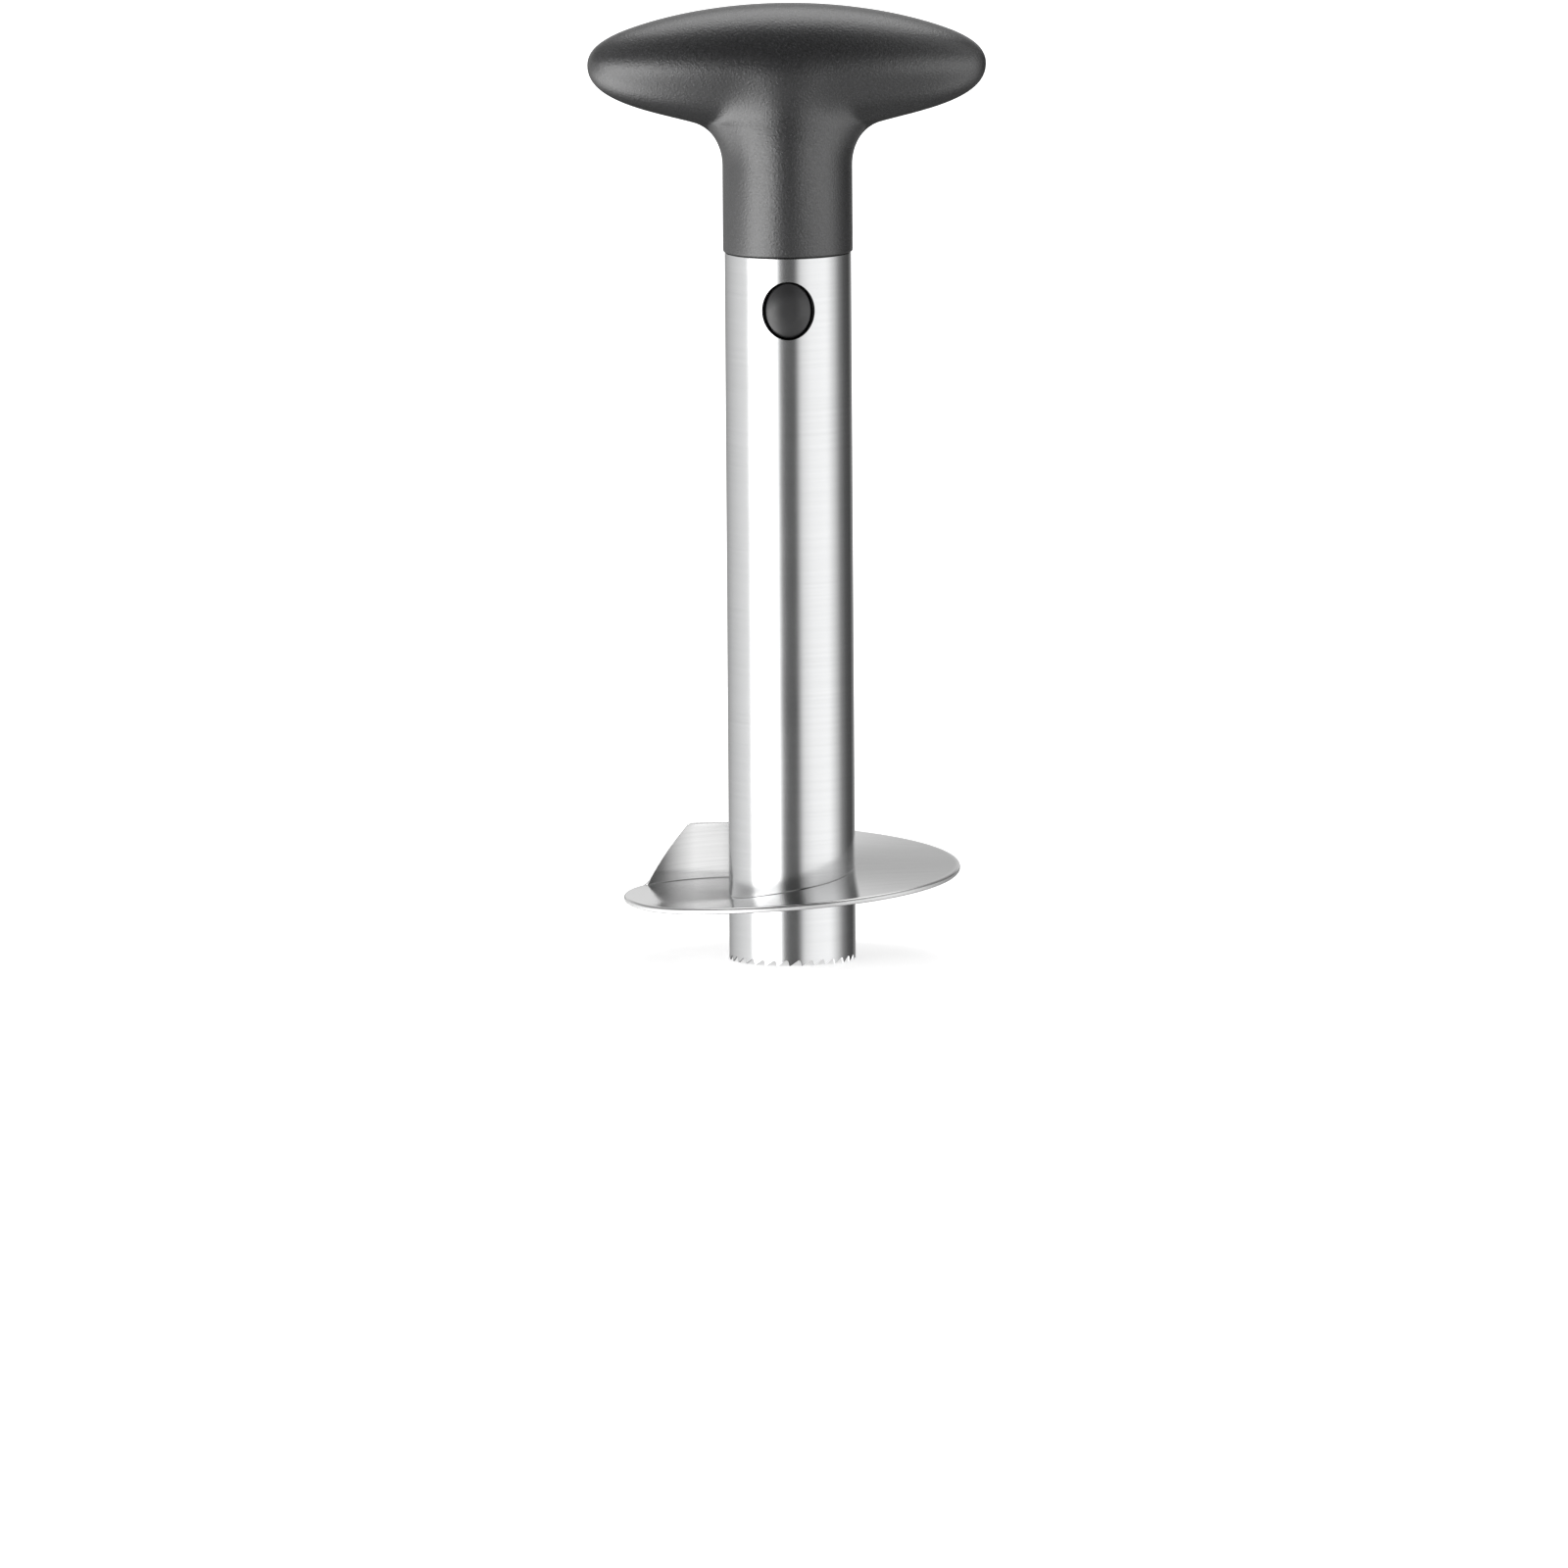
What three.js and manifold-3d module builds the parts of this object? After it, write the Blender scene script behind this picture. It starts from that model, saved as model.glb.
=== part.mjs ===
// A pineapple slicer with a removable T-handle, in millimetres, +Z up.
// The origin is on the tube's axis in the plane of the tooth tips, on which the slicer stands.
// -Y is the front. Turned clockwise, seen from above, the toothed tube cuts the core out while the blade,
// a ring that climbs one slice in a turn, cuts the flesh into one long coil. The wing that is folded up
// at the blade's rim cuts the coil free of the rind. Two sprung latches lock the handle's spigot in the tube.
import * as THREE from "three";
import { mergeVertices } from "three/addons/utils/BufferGeometryUtils.js";
import Module from "manifold-3d";

const wasm = await Module();
wasm.setup();

// Driving sizes of the coring tube
const tubeRadius = 16;
const tubeWall = 1;
const tubeLength = 180;
const toothDepth = 1.4;
const tipWall = 0.35;
const bevelHeight = 1.6;
const toothCount = 32;
const toothTurnAngle = -3;
// One tooth, as shares of its pitch and its depth: a short land, a long relief, a gullet, a steep face.
const toothShares = [
  [0, 0],
  [0.09, 0],
  [0.68, 0.93],
  [0.8, 1],
  [0.9, 0.88],
];

// Driving sizes of the blade. Its angles run anticlockwise from its leading edge, at leadAngle.
const leadAngle = 90;
const bladeRadius = 42.6;
const bladeThickness = 1.5;
const bladeHeight = 14.9;
const sliceThickness = 12.1;
const flatAngle = 113;
const easeShare = 0.12;
// The leading end is pressed down a little, which eases out at dipAngle
const leadDip = 1.3;
const dipAngle = 80;
const bladeStepAngle = 4.5;
const rimRound = 0.3;
const edgeThickness = 0.3;
const edgeBevelAngle = 15;
const weldSize = 0.8;
const weldGap = 0.1;
const filletShare = 0.3;

// Driving sizes of the wing at the blade's rim
const wingHeight = 14;
const wingLeadAngle = 1;
const wingRakeAngle = 8;
const wingShoulderAngle = 39.2;
const wingShoulderRoundAngle = 3;
const wingFootAngle = 63.2;
const wingChamfer = 0.5;
const wingBevelAngle = 22;
const foldRadius = 1.1;
const foldTurns = [0, 30, 60, 90];

// Driving sizes of the grip
const gripHalfLength = 50.4;
const gripTop = 63;
const gripNoseHeight = 47.4;
const gripHalfDepth = 15.8;
const flareShare = 0.46;
// Half the flared stem's width where it meets the bar, as a share of the half-length
const rootShare = 0.38;
// Where the bar's belly ends, as a share of the nose's height, and its fullness, where 2 is an oval
const bellyShare = 0.63;
const bellyPower = 1.6;
// How sharply bar and stem meet, and how late the stem fades out in the bar
const blendPower = 14;
const fadePower = 6;
const collarLip = 0.42;
const collarRound = 0.4;
const gripWall = 2.4;
const gripFlat = 1.2;
const seamGap = 0.1;
const ribWall = 1.6;
const gripSteps = 7;
const hollowSteps = 4;
const gripSides = 44;
const hollowSides = 24;

// Driving sizes of the pins that join the two grip shells
const pinRadius = 2;
const pinReach = 5;
const bossRadius = 4;
const pinSides = 16;
const tabPinOffset = 7;
const tabPinLift = 8.4;
const barPinOffset = 33;
const bossSides = 20;
// The ribs' places, as shares of the grip's half-length
const ribShares = [-0.46, -0.26, 0.26, 0.46];

// Driving sizes of the spigot and its end cap
const spigotWall = 3.2;
const spigotReach = 6.45;
const neckHeight = 20.4;
const tabMargin = 7;
const tabHalfWidth = 11.5;
const webThickness = 2.4;
const webRoot = 0.5;
const postRadius = 3.4;
const postCrown = 2;
const capThickness = 3;
const capPlugHeight = 2;
const capChamfer = 1;
const spigotSides = 48;
const capSides = 32;

// Driving sizes of the latches
const buttonHalfWidth = 5.7;
const buttonHalfHeight = 6.95;
const buttonProud = 0.7;
const buttonDome = 0.9;
const buttonDrop = 13.3;
const holeSideGap = 0.95;
const holeEndGap = 0.45;
const windowGap = 0.5;
const armThickness = 1.6;
const armHalfWidth = 4.6;
const armTail = 2;
const footHalfWidth = 3.5;
const footHeight = 4;
const footDrop = 2;
const ovalSegments = 16;
const crownSides = 48;
const crownRows = 36;

// Driving sizes of the cap screw
const screwRadius = 1.5;
const screwLength = 12;
const screwHeadRadius = 2.9;
const screwHeadHeight = 1.8;
const driveSlotWidth = 0.9;
const driveSlotDepth = 0.8;
// The head's rounded edge, as shares of its radius and its height
const headEdgeShares = [0.8, 0.35];
const screwSides = 24;

// Clearances
const slidingFit = 0.2;
const looseFit = 0.3;
const pinFit = 0.12;
const overrun = 2;

// Places that follow from the sizes above
const tubeBore = tubeRadius - tubeWall;
const collarBottom = tubeLength + slidingFit;
const stemRadius = tubeRadius + collarLip;
const stemBore = stemRadius - gripWall;
const spigotRadius = tubeBore - slidingFit;
const spigotBore = spigotRadius - spigotWall;
const neckRadius = stemBore - looseFit;
const buttonCentre = tubeLength - buttonDrop;
const spigotBottom = buttonCentre - buttonHalfHeight - spigotReach;
const spigotShoulder = tubeLength - slidingFit;
const neckTop = collarBottom + neckHeight;
const capBottom = spigotBottom - slidingFit - capThickness;
const tabPinHeight = neckTop + tabPinLift;
const footTop = neckTop - footDrop;
const footBottom = footTop - footHeight;
const armOuter = Math.sqrt(spigotBore ** 2 - armHalfWidth ** 2) - looseFit;
const armInner = armOuter - armThickness;
const bladeBore = tubeRadius + weldGap;
const wingBore = bladeRadius - bladeThickness;
const foldRound = Math.min(foldRadius, bladeThickness - 2 * rimRound);
const noseHeight = collarBottom + gripNoseHeight;
const flareHeight = collarBottom + gripNoseHeight * flareShare;
const bellyHeight = collarBottom + gripNoseHeight * bellyShare;
const topHeight = collarBottom + gripTop;
const radians = Math.PI / 180;

// Turns a closed geometry into a solid that can be joined and cut
function solid(geometry) {
  const bare = geometry.clone();
  bare.deleteAttribute("normal");
  bare.deleteAttribute("uv");
  const merged = mergeVertices(bare);
  return new wasm.Manifold(
    new wasm.Mesh({
      numProp: 3,
      vertProperties: merged.attributes.position.array,
      triVerts: new Uint32Array(merged.index.array),
    }),
  );
}

// Turns a solid back into a geometry
function geometryOf(body) {
  const mesh = body.getMesh();
  const positions = new Float32Array(mesh.numVert * 3);
  for (let i = 0; i < mesh.numVert; i++) {
    const start = i * mesh.numProp;
    positions.set(mesh.vertProperties.subarray(start, start + 3), i * 3);
  }
  const geometry = new THREE.BufferGeometry();
  geometry.setAttribute("position", new THREE.BufferAttribute(positions, 3));
  geometry.setIndex(new THREE.BufferAttribute(mesh.triVerts, 1));
  geometry.computeVertexNormals();
  return geometry;
}

// Skins rings of points, and closes the ends with the triangles of capFaces unless the rings join up
function skin(rings, capFaces) {
  const count = rings[0].length;
  const positions = rings.flat(2);
  const faces = [];
  const last = capFaces ? rings.length - 1 : rings.length;
  for (let i = 0; i < last; i++) {
    const next = (i + 1) % rings.length;
    for (let j = 0; j < count; j++) {
      const k = (j + 1) % count;
      faces.push(i * count + j, i * count + k, next * count + k);
      faces.push(i * count + j, next * count + k, next * count + j);
    }
  }
  if (capFaces) {
    const end = (rings.length - 1) * count;
    for (const [a, b, c] of capFaces) {
      faces.push(c, b, a);
      faces.push(end + a, end + b, end + c);
    }
  }
  const geometry = new THREE.BufferGeometry();
  geometry.setAttribute("position", new THREE.Float32BufferAttribute(positions, 3));
  geometry.setIndex(faces);
  if (signedVolume(geometry) < 0) geometry.setIndex(faces.reverse());
  return geometry;
}

function signedVolume(geometry) {
  const position = geometry.getAttribute("position");
  const index = geometry.getIndex().array;
  const corner = [new THREE.Vector3(), new THREE.Vector3(), new THREE.Vector3()];
  let sum = 0;
  for (let i = 0; i < index.length; i += 3) {
    corner.forEach((c, k) => c.fromBufferAttribute(position, index[i + k]));
    sum += corner[0].dot(corner[1].cross(corner[2]));
  }
  return sum;
}

// A section of [radius, height] pairs stood at an angle round the axis
function ringAt(section, angle) {
  const c = Math.cos(angle * radians);
  const s = Math.sin(angle * radians);
  return section.map(([r, z]) => [r * c, r * s, z]);
}

// The triangles that fill a section of [radius, height] pairs
function fillOf(section) {
  return THREE.ShapeUtils.triangulateShape(
    section.map(([r, z]) => new THREE.Vector2(r, z)),
    [],
  );
}

function revolve(section, sides) {
  const points = section.map(([r, z]) => new THREE.Vector2(r, z));
  return solid(new THREE.LatheGeometry(points, sides).rotateX(Math.PI / 2));
}

function disc(radius, low, high, sides) {
  const section = [
    [0, low],
    [radius, low],
    [radius, high],
    [0, high],
  ];
  return revolve(section, sides);
}

function box(low, high) {
  const size = high.map((value, i) => value - low[i]);
  const centre = high.map((value, i) => (value + low[i]) / 2);
  return solid(new THREE.BoxGeometry(...size).translate(...centre));
}

// A rod along Y at a place in X and Z
function rodY(radius, x, z, from, to, sides) {
  const rod = new THREE.CylinderGeometry(radius, radius, to - from, sides);
  return solid(rod.translate(x, (from + to) / 2, z));
}

// An upright oval bar along Y, centred on the buttons
function ovalBar(halfWidth, halfHeight, from, to) {
  const outline = new THREE.Shape().absellipse(0, 0, halfWidth, halfHeight, 0, 2 * Math.PI);
  const bar = new THREE.ExtrudeGeometry(outline, {
    depth: to - from,
    bevelEnabled: false,
    curveSegments: ovalSegments,
  });
  return solid(bar.rotateX(Math.PI / 2).translate(0, to, buttonCentre));
}

// The tube: a wall of five points is carried round the teeth, then the latch holes are punched
function coringTube() {
  const pitch = 360 / toothCount;
  const rings = [];
  for (let tooth = 0; tooth < toothCount; tooth++) {
    for (const [along, up] of toothShares) {
      const foot = up * toothDepth;
      const wall = [
        [tubeRadius, foot],
        [tubeRadius, tubeLength],
        [tubeBore, tubeLength],
        [tubeBore, foot + bevelHeight],
        [tubeRadius - tipWall, foot],
      ];
      rings.push(ringAt(wall, (tooth + along) * pitch + toothTurnAngle));
    }
  }
  const reach = tubeRadius + overrun;
  return solid(skin(rings)).subtract(
    ovalBar(buttonHalfWidth + holeSideGap, buttonHalfHeight + holeEndGap, -reach, reach),
  );
}

// How far the leading end is pressed down
function dipAt(angle) {
  return leadDip * Math.max(0, 1 - angle / dipAngle) ** 2;
}

// The height of the blade's underside: a dip at the lead, a level stretch, then one slice up
function undersideAt(angle) {
  const turn = Math.max(0, (angle - flatAngle) / (360 - flatAngle));
  const eased = turn < easeShare ? turn ** 2 / (2 * easeShare) : turn - easeShare / 2;
  return bladeHeight + (sliceThickness * eased) / (1 - easeShare / 2) - dipAt(angle);
}

// The blade's section: a weld fillet at the tube, a flat web and a rounded rim, which is a folded corner
// under the wing
function bladeSection(angle) {
  const low = undersideAt(angle);
  const high = low + bladeThickness;
  const corner = angle < wingFootAngle ? foldRound : rimRound;
  const section = [
    [bladeBore, low - weldSize],
    [bladeBore + weldSize * filletShare, low - weldSize * filletShare],
    [bladeBore + weldSize, low],
  ];
  for (const turn of foldTurns) {
    section.push([
      bladeRadius - corner + corner * Math.sin(turn * radians),
      low + corner - corner * Math.cos(turn * radians),
    ]);
  }
  section.push([bladeRadius, high - rimRound]);
  section.push([bladeRadius - rimRound, high]);
  section.push([bladeBore + weldSize, high]);
  section.push([bladeBore + weldSize * filletShare, high + weldSize * filletShare]);
  section.push([bladeBore, high + weldSize]);
  return section;
}

// The wing's height above the dipping blade: a raked cutting edge, a level top, a rounded shoulder and a
// long slope
function wingRise(angle) {
  const slope = wingHeight / (wingFootAngle - wingShoulderAngle);
  const tip = wingHeight + dipAt(wingLeadAngle + wingRakeAngle);
  const rise = (tip * (angle - wingLeadAngle)) / wingRakeAngle;
  const past = (angle - wingShoulderAngle) / wingShoulderRoundAngle + 1 / 2;
  const eased = THREE.MathUtils.clamp(past, 0, 1);
  const level = wingHeight - (slope * wingShoulderRoundAngle * eased ** 2) / 2;
  const fall = past < 1 ? level : slope * (wingFootAngle - angle);
  return Math.max(rimRound, Math.min(rise, fall + dipAt(angle)));
}

// The wing's section: rooted in the blade, with a fold fillet inside and a chamfered inner top edge
function wingSection(angle) {
  const root = undersideAt(angle) + foldRound;
  const floor = undersideAt(angle) + bladeThickness;
  const rise = wingRise(angle);
  const fold = Math.min(foldRadius, rise / 2);
  const chamfer = Math.min(wingChamfer, rise / 4);
  return [
    [wingBore - fold, root],
    [bladeRadius, root],
    [bladeRadius, floor + rise],
    [wingBore + chamfer, floor + rise],
    [wingBore, floor + rise - chamfer],
    [wingBore, floor + fold],
    [wingBore - fold * filletShare, floor + fold * filletShare],
    [wingBore - fold, floor],
  ];
}

function anglesBetween(start, end, step) {
  const count = Math.ceil((end - start) / step);
  return Array.from({ length: count }, (_, i) => start + ((end - start) * i) / count);
}

// A block with one face on the plane through origin that holds the directions u and v, on the side of
// their cross product
function halfSpace(origin, u, v, size) {
  const normal = new THREE.Vector3().crossVectors(u, v).normalize();
  const along = u.clone().normalize();
  const across = new THREE.Vector3().crossVectors(normal, along);
  const place = new THREE.Matrix4().makeBasis(along, across, normal).setPosition(origin);
  const block = new THREE.BoxGeometry(size, size, size).translate(0, 0, size / 2);
  return solid(block.applyMatrix4(place));
}

// The ground bevel of the radial cutting edge: it starts at the edge and climbs until it leaves the upper
// face, which rises behind the edge too
function edgeBevel() {
  const grind = edgeBevelAngle * radians;
  const length = (2 * (bladeThickness - edgeThickness)) / Math.tan(grind);
  const origin = new THREE.Vector3(bladeBore, 0, undersideAt(0) + edgeThickness);
  const outward = new THREE.Vector3(1, 0, 0);
  const back = new THREE.Vector3(0, Math.cos(grind), Math.sin(grind));
  const reach = box(
    [bladeBore + weldSize, -overrun, undersideAt(0)],
    [wingBore - foldRadius, length, bladeHeight + bladeThickness + overrun],
  );
  return halfSpace(origin, outward, back, bladeRadius).intersect(reach);
}

// The ground bevel of the wing's raked edge: it takes the inner face back from the edge
function wingBevel() {
  const grind = wingBevelAngle * radians;
  const floor = undersideAt(wingLeadAngle) + bladeThickness;
  const top = bladeHeight + bladeThickness + wingHeight;
  const rimPoint = (angle, z) => new THREE.Vector3(...ringAt([[bladeRadius, z]], angle)[0]);
  const foot = rimPoint(wingLeadAngle, floor);
  const tip = rimPoint(wingLeadAngle + wingRakeAngle, top);
  const inwards = new THREE.Vector3(-foot.x, -foot.y, 0).normalize();
  const back = new THREE.Vector3(inwards.y, -inwards.x, 0).multiplyScalar(Math.cos(grind));
  back.addScaledVector(inwards, Math.sin(grind));
  const origin = foot.clone().addScaledVector(inwards, edgeThickness);
  const reach = box(
    [tubeRadius, -overrun, floor],
    [bladeRadius, tip.y + bladeThickness / Math.tan(grind), top + overrun],
  );
  return halfSpace(origin, back, tip.sub(foot), bladeRadius).intersect(reach);
}

// The blade: the ring and the wing are swept round the axis, joined, and ground at their leading edges
function slicingBlade() {
  const wingAngles = [
    ...anglesBetween(wingLeadAngle, wingLeadAngle + wingRakeAngle, bladeStepAngle),
    ...anglesBetween(wingLeadAngle + wingRakeAngle, wingFootAngle, bladeStepAngle / 2),
    wingFootAngle,
  ];
  const climbAngles = anglesBetween(wingFootAngle, 360, bladeStepAngle).slice(1);
  const ringAngles = [0, ...wingAngles, ...climbAngles, 360];
  const sweep = (sectionAt, angles) => {
    const rings = angles.map((angle) => ringAt(sectionAt(angle), angle));
    return solid(skin(rings, fillOf(sectionAt(angles[angles.length - 1]))));
  };
  const blade = sweep(bladeSection, ringAngles).add(sweep(wingSection, wingAngles));
  return blade.subtract(edgeBevel()).subtract(wingBevel());
}

// Half the grip's outline seen from the front, from the collar's foot to the middle of the top. The control
// points stand at shares of the half-length, and of the height below or above the nose.
function frontOutline() {
  const flank = noseHeight - collarBottom;
  const crown = topHeight - noseHeight;
  const reach = (share) => gripHalfLength * share;
  const below = (share) => collarBottom + flank * share;
  const above = (share) => noseHeight + crown * share;
  const path = new THREE.Path();
  path.moveTo(stemRadius - collarRound, collarBottom);
  path.lineTo(stemRadius, collarBottom + collarRound);
  path.lineTo(stemRadius, flareHeight);
  path.bezierCurveTo(stemRadius, below(0.565), reach(0.375), below(0.662), reach(0.47), below(0.692));
  path.bezierCurveTo(reach(0.67), below(0.752), reach(1), below(0.805), reach(1), noseHeight);
  path.bezierCurveTo(reach(1), above(0.25), reach(0.935), above(0.4), reach(0.84), above(0.535));
  path.bezierCurveTo(reach(0.68), above(0.745), reach(0.38), topHeight, 0, topHeight);
  return path;
}

// An outline moved inwards by a wall, which ends in a small flat instead of a point on the axis
function insetOutline(points, wall) {
  const moved = points.map((point, i) => {
    const before = points[Math.max(i - 1, 0)];
    const after = points[Math.min(i + 1, points.length - 1)];
    const along = after.clone().sub(before).normalize();
    return new THREE.Vector2(point.x - along.y * wall, point.y + along.x * wall);
  });
  const flat = new THREE.Vector2(gripFlat, topHeight - wall);
  return [...moved.filter((point) => point.x > gripFlat && point.y < flat.y), flat];
}

// The bar's half-depth at a height, where the surface lies a wall inside the grip's own
function barDepth(height, wall) {
  const power = height < noseHeight ? bellyPower : 2;
  const reach = height < noseHeight ? noseHeight - bellyHeight : topHeight - noseHeight;
  const offset = Math.min(1, Math.abs(height - noseHeight) / (reach - wall));
  return Math.max(gripFlat, (gripHalfDepth - wall) * (1 - offset ** power) ** (1 / power));
}

// A level section of the grip: the bar's oval and the stem's, which fades out towards the top, run softly
// into one another, and the half-width comes from the front outline
function gripSection(halfWidth, height, wall, sides) {
  const soft = (a, b) => (a ** blendPower + b ** blendPower) ** (1 / blendPower);
  const climb = THREE.MathUtils.clamp((height - flareHeight) / (topHeight - flareHeight), 0, 1);
  const fading = 1 - climb ** fadePower;
  const faded = (size) => Math.max(gripFlat / 2, Math.min(halfWidth, (size - wall) * fading));
  const stem = faded(gripHalfLength * rootShare);
  const stemDepth = faded(stemRadius);
  const bar = Math.max(gripFlat / 2, (halfWidth ** blendPower - stem ** blendPower) ** (1 / blendPower));
  const depth = Math.min(bar, barDepth(height, wall));
  const halfDepth = soft(stemDepth, depth);
  return Array.from({ length: sides }, (_, i) => {
    const turn = (2 * Math.PI * i) / sides;
    const angle = Math.atan2(halfDepth * Math.sin(turn), halfWidth * Math.cos(turn));
    const ofStem = 1 / Math.hypot(Math.cos(angle) / stem, Math.sin(angle) / stemDepth);
    const ofBar = 1 / Math.hypot(Math.cos(angle) / bar, Math.sin(angle) / depth);
    const radius = soft(ofStem, ofBar);
    return [radius * Math.cos(angle), radius * Math.sin(angle), height];
  });
}

// The grip's outer body where the wall is nought, and its hollow where there is one
function gripBody(outline, wall, sides) {
  const rings = outline.map(({ x, y }) => gripSection(x, y, wall, sides));
  const fan = Array.from({ length: sides - 2 }, (_, i) => [0, i + 1, i + 2]);
  return solid(skin(rings, fan));
}

// Both grip shells: a hollow T with bosses and ribs, parted in the plane of the T
function gripShells() {
  const whole = gripBody(insetOutline(frontOutline().getPoints(gripSteps), 0), 0, gripSides);
  const bore = [collarBottom - overrun, flareHeight].map((height) => new THREE.Vector2(stemBore, height));
  const inside = insetOutline(frontOutline().getPoints(hollowSteps), gripWall);
  const above = inside.filter((point) => point.y > flareHeight + gripWall);
  const hollow = gripBody([...bore, ...above], gripWall, hollowSides);
  return { front: gripHalf(whole, hollow, -1), rear: gripHalf(whole, hollow, 1) };
}

// The pins' places, and how far from the parting plane each boss stops
function pinPlaces() {
  const tabFace = webThickness / 2 + pinFit;
  return [
    { x: -barPinOffset, z: noseHeight, from: seamGap / 2 },
    { x: -tabPinOffset, z: tabPinHeight, from: tabFace },
    { x: tabPinOffset, z: tabPinHeight, from: tabFace },
    { x: barPinOffset, z: noseHeight, from: seamGap / 2 },
  ];
}

// The two distances from the parting plane, on the front (-1) or the rear (1), as an interval of Y
function span(face, near, far) {
  return [face * near, face * far].sort((a, b) => a - b);
}

// One grip shell: half the hollow body with its bosses and ribs, and the pins in front or their sockets
// in the rear
function gripHalf(whole, hollow, face) {
  const far = stemRadius + gripHalfDepth;
  let half = whole.subtract(hollow);
  for (const { x, z, from } of pinPlaces()) {
    half = half.add(rodY(bossRadius, x, z, ...span(face, from, far), bossSides).intersect(whole));
  }
  for (const x of ribShares.map((share) => share * gripHalfLength)) {
    const [near, back] = span(face, bossRadius, far);
    const foot = neckTop + overrun;
    const rib = box([x - ribWall / 2, near, foot], [x + ribWall / 2, back, topHeight]);
    half = half.add(rib.intersect(whole));
  }
  const [near, back] = span(face, seamGap / 2, far);
  const wide = gripHalfLength + overrun;
  half = half.intersect(box([-wide, near, collarBottom - overrun], [wide, back, topHeight + overrun]));
  for (const { x, z } of pinPlaces()) {
    half =
      face < 0
        ? half.add(rodY(pinRadius, x, z, -bossRadius, pinReach, pinSides))
        : half.subtract(rodY(pinRadius + pinFit, x, z, 0, pinReach + pinFit, pinSides));
  }
  return half;
}

// The spigot: a bored plug with a necked top, a web with a screw post inside, and a tab that the grip's
// pins cross
function spigot() {
  const wall = [
    [spigotBore, spigotBottom],
    [spigotRadius, spigotBottom],
    [spigotRadius, spigotShoulder],
    [neckRadius, spigotShoulder],
    [neckRadius, neckTop],
    [spigotBore, neckTop],
    [spigotBore, spigotBottom],
  ];
  const webBottom = spigotBottom + capPlugHeight + looseFit;
  const webHalf = webThickness / 2;
  const webReach = spigotBore + webRoot;
  const web = box([-webReach, -webHalf, webBottom], [webReach, webHalf, neckTop]);
  const tab = box(
    [-tabHalfWidth, -webHalf, neckTop - webRoot],
    [tabHalfWidth, webHalf, tabPinHeight + tabMargin],
  );
  const post = disc(postRadius, webBottom, webBottom + screwLength + postCrown, screwSides);
  const pilot = disc(screwRadius + pinFit, webBottom - overrun, webBottom + screwLength, screwSides);
  let body = revolve(wall, spigotSides).add(web).add(tab).add(post).subtract(pilot);
  for (const x of [-tabPinOffset, tabPinOffset]) {
    body = body.subtract(rodY(pinRadius + slidingFit, x, tabPinHeight, -overrun, overrun, pinSides));
  }
  const slotHalf = footHalfWidth + looseFit;
  for (const face of [-1, 1]) {
    const [near, back] = span(face, armInner, tubeRadius + overrun);
    const slot = box([-slotHalf, near, footBottom - looseFit], [slotHalf, back, footTop + looseFit]);
    const window = ovalBar(buttonHalfWidth + windowGap, buttonHalfHeight + windowGap, near, back);
    body = body.subtract(window).subtract(slot);
  }
  return body;
}

// The end cap that closes the spigot, with a counterbore for its screw
function endCap() {
  const plugRadius = spigotBore - slidingFit;
  const plugTop = spigotBottom + capPlugHeight;
  const section = [
    [screwRadius + pinFit, capBottom + screwHeadHeight + looseFit],
    [screwHeadRadius + looseFit, capBottom + screwHeadHeight + looseFit],
    [screwHeadRadius + looseFit, capBottom],
    [spigotRadius - capChamfer, capBottom],
    [spigotRadius, capBottom + capChamfer],
    [spigotRadius, spigotBottom - slidingFit],
    [plugRadius, spigotBottom - slidingFit],
    [plugRadius, plugTop],
    [screwRadius + pinFit, plugTop],
    [screwRadius + pinFit, capBottom + screwHeadHeight + looseFit],
  ];
  return revolve(section, capSides);
}

// The screw that holds the end cap, head down, with a driver slot
function capScrew() {
  const headTop = capBottom + screwHeadHeight;
  const [edgeAcross, edgeUp] = headEdgeShares;
  const section = [
    [0, capBottom],
    [screwHeadRadius * edgeAcross, capBottom],
    [screwHeadRadius, capBottom + screwHeadHeight * edgeUp],
    [screwHeadRadius, headTop],
    [screwRadius, headTop],
    [screwRadius, headTop + screwLength - screwRadius],
    [0, headTop + screwLength],
  ];
  const slot = box(
    [-screwHeadRadius, -driveSlotWidth / 2, capBottom - overrun],
    [screwHeadRadius, driveSlotWidth / 2, capBottom + driveSlotDepth],
  );
  return revolve(section, screwSides).subtract(slot);
}

// A latch, on the front (-1) or the rear (1): a foot hooked through the spigot's neck, a springy arm and a
// domed oval button
function latch(face) {
  const armBottom = buttonCentre - buttonHalfHeight - armTail;
  const arm = span(face, armInner, armOuter);
  const foot = span(face, armInner, Math.sqrt(neckRadius ** 2 - footHalfWidth ** 2) - looseFit);
  const tip = tubeRadius + buttonProud;
  const crownRadius = (buttonHalfHeight ** 2 + buttonDome ** 2) / (2 * buttonDome);
  const crown = new THREE.SphereGeometry(crownRadius, crownSides, crownRows);
  crown.translate(0, face * (tip - crownRadius), buttonCentre);
  const stud = ovalBar(buttonHalfWidth, buttonHalfHeight, ...span(face, armInner, tip));
  return box([-armHalfWidth, arm[0], armBottom], [armHalfWidth, arm[1], footTop])
    .add(box([-footHalfWidth, foot[0], footBottom], [footHalfWidth, foot[1], footTop]))
    .add(stud.intersect(solid(crown)));
}

const steel = { color: 0xc4c6c8, roughness: 0.28, metalness: 1 };
const blackPlastic = { color: 0x2b2b2c, roughness: 0.55, metalness: 0 };

function piece(name, body, finish) {
  const mesh = new THREE.Mesh(geometryOf(body), new THREE.MeshStandardMaterial(finish));
  mesh.name = name;
  return mesh;
}

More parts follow.
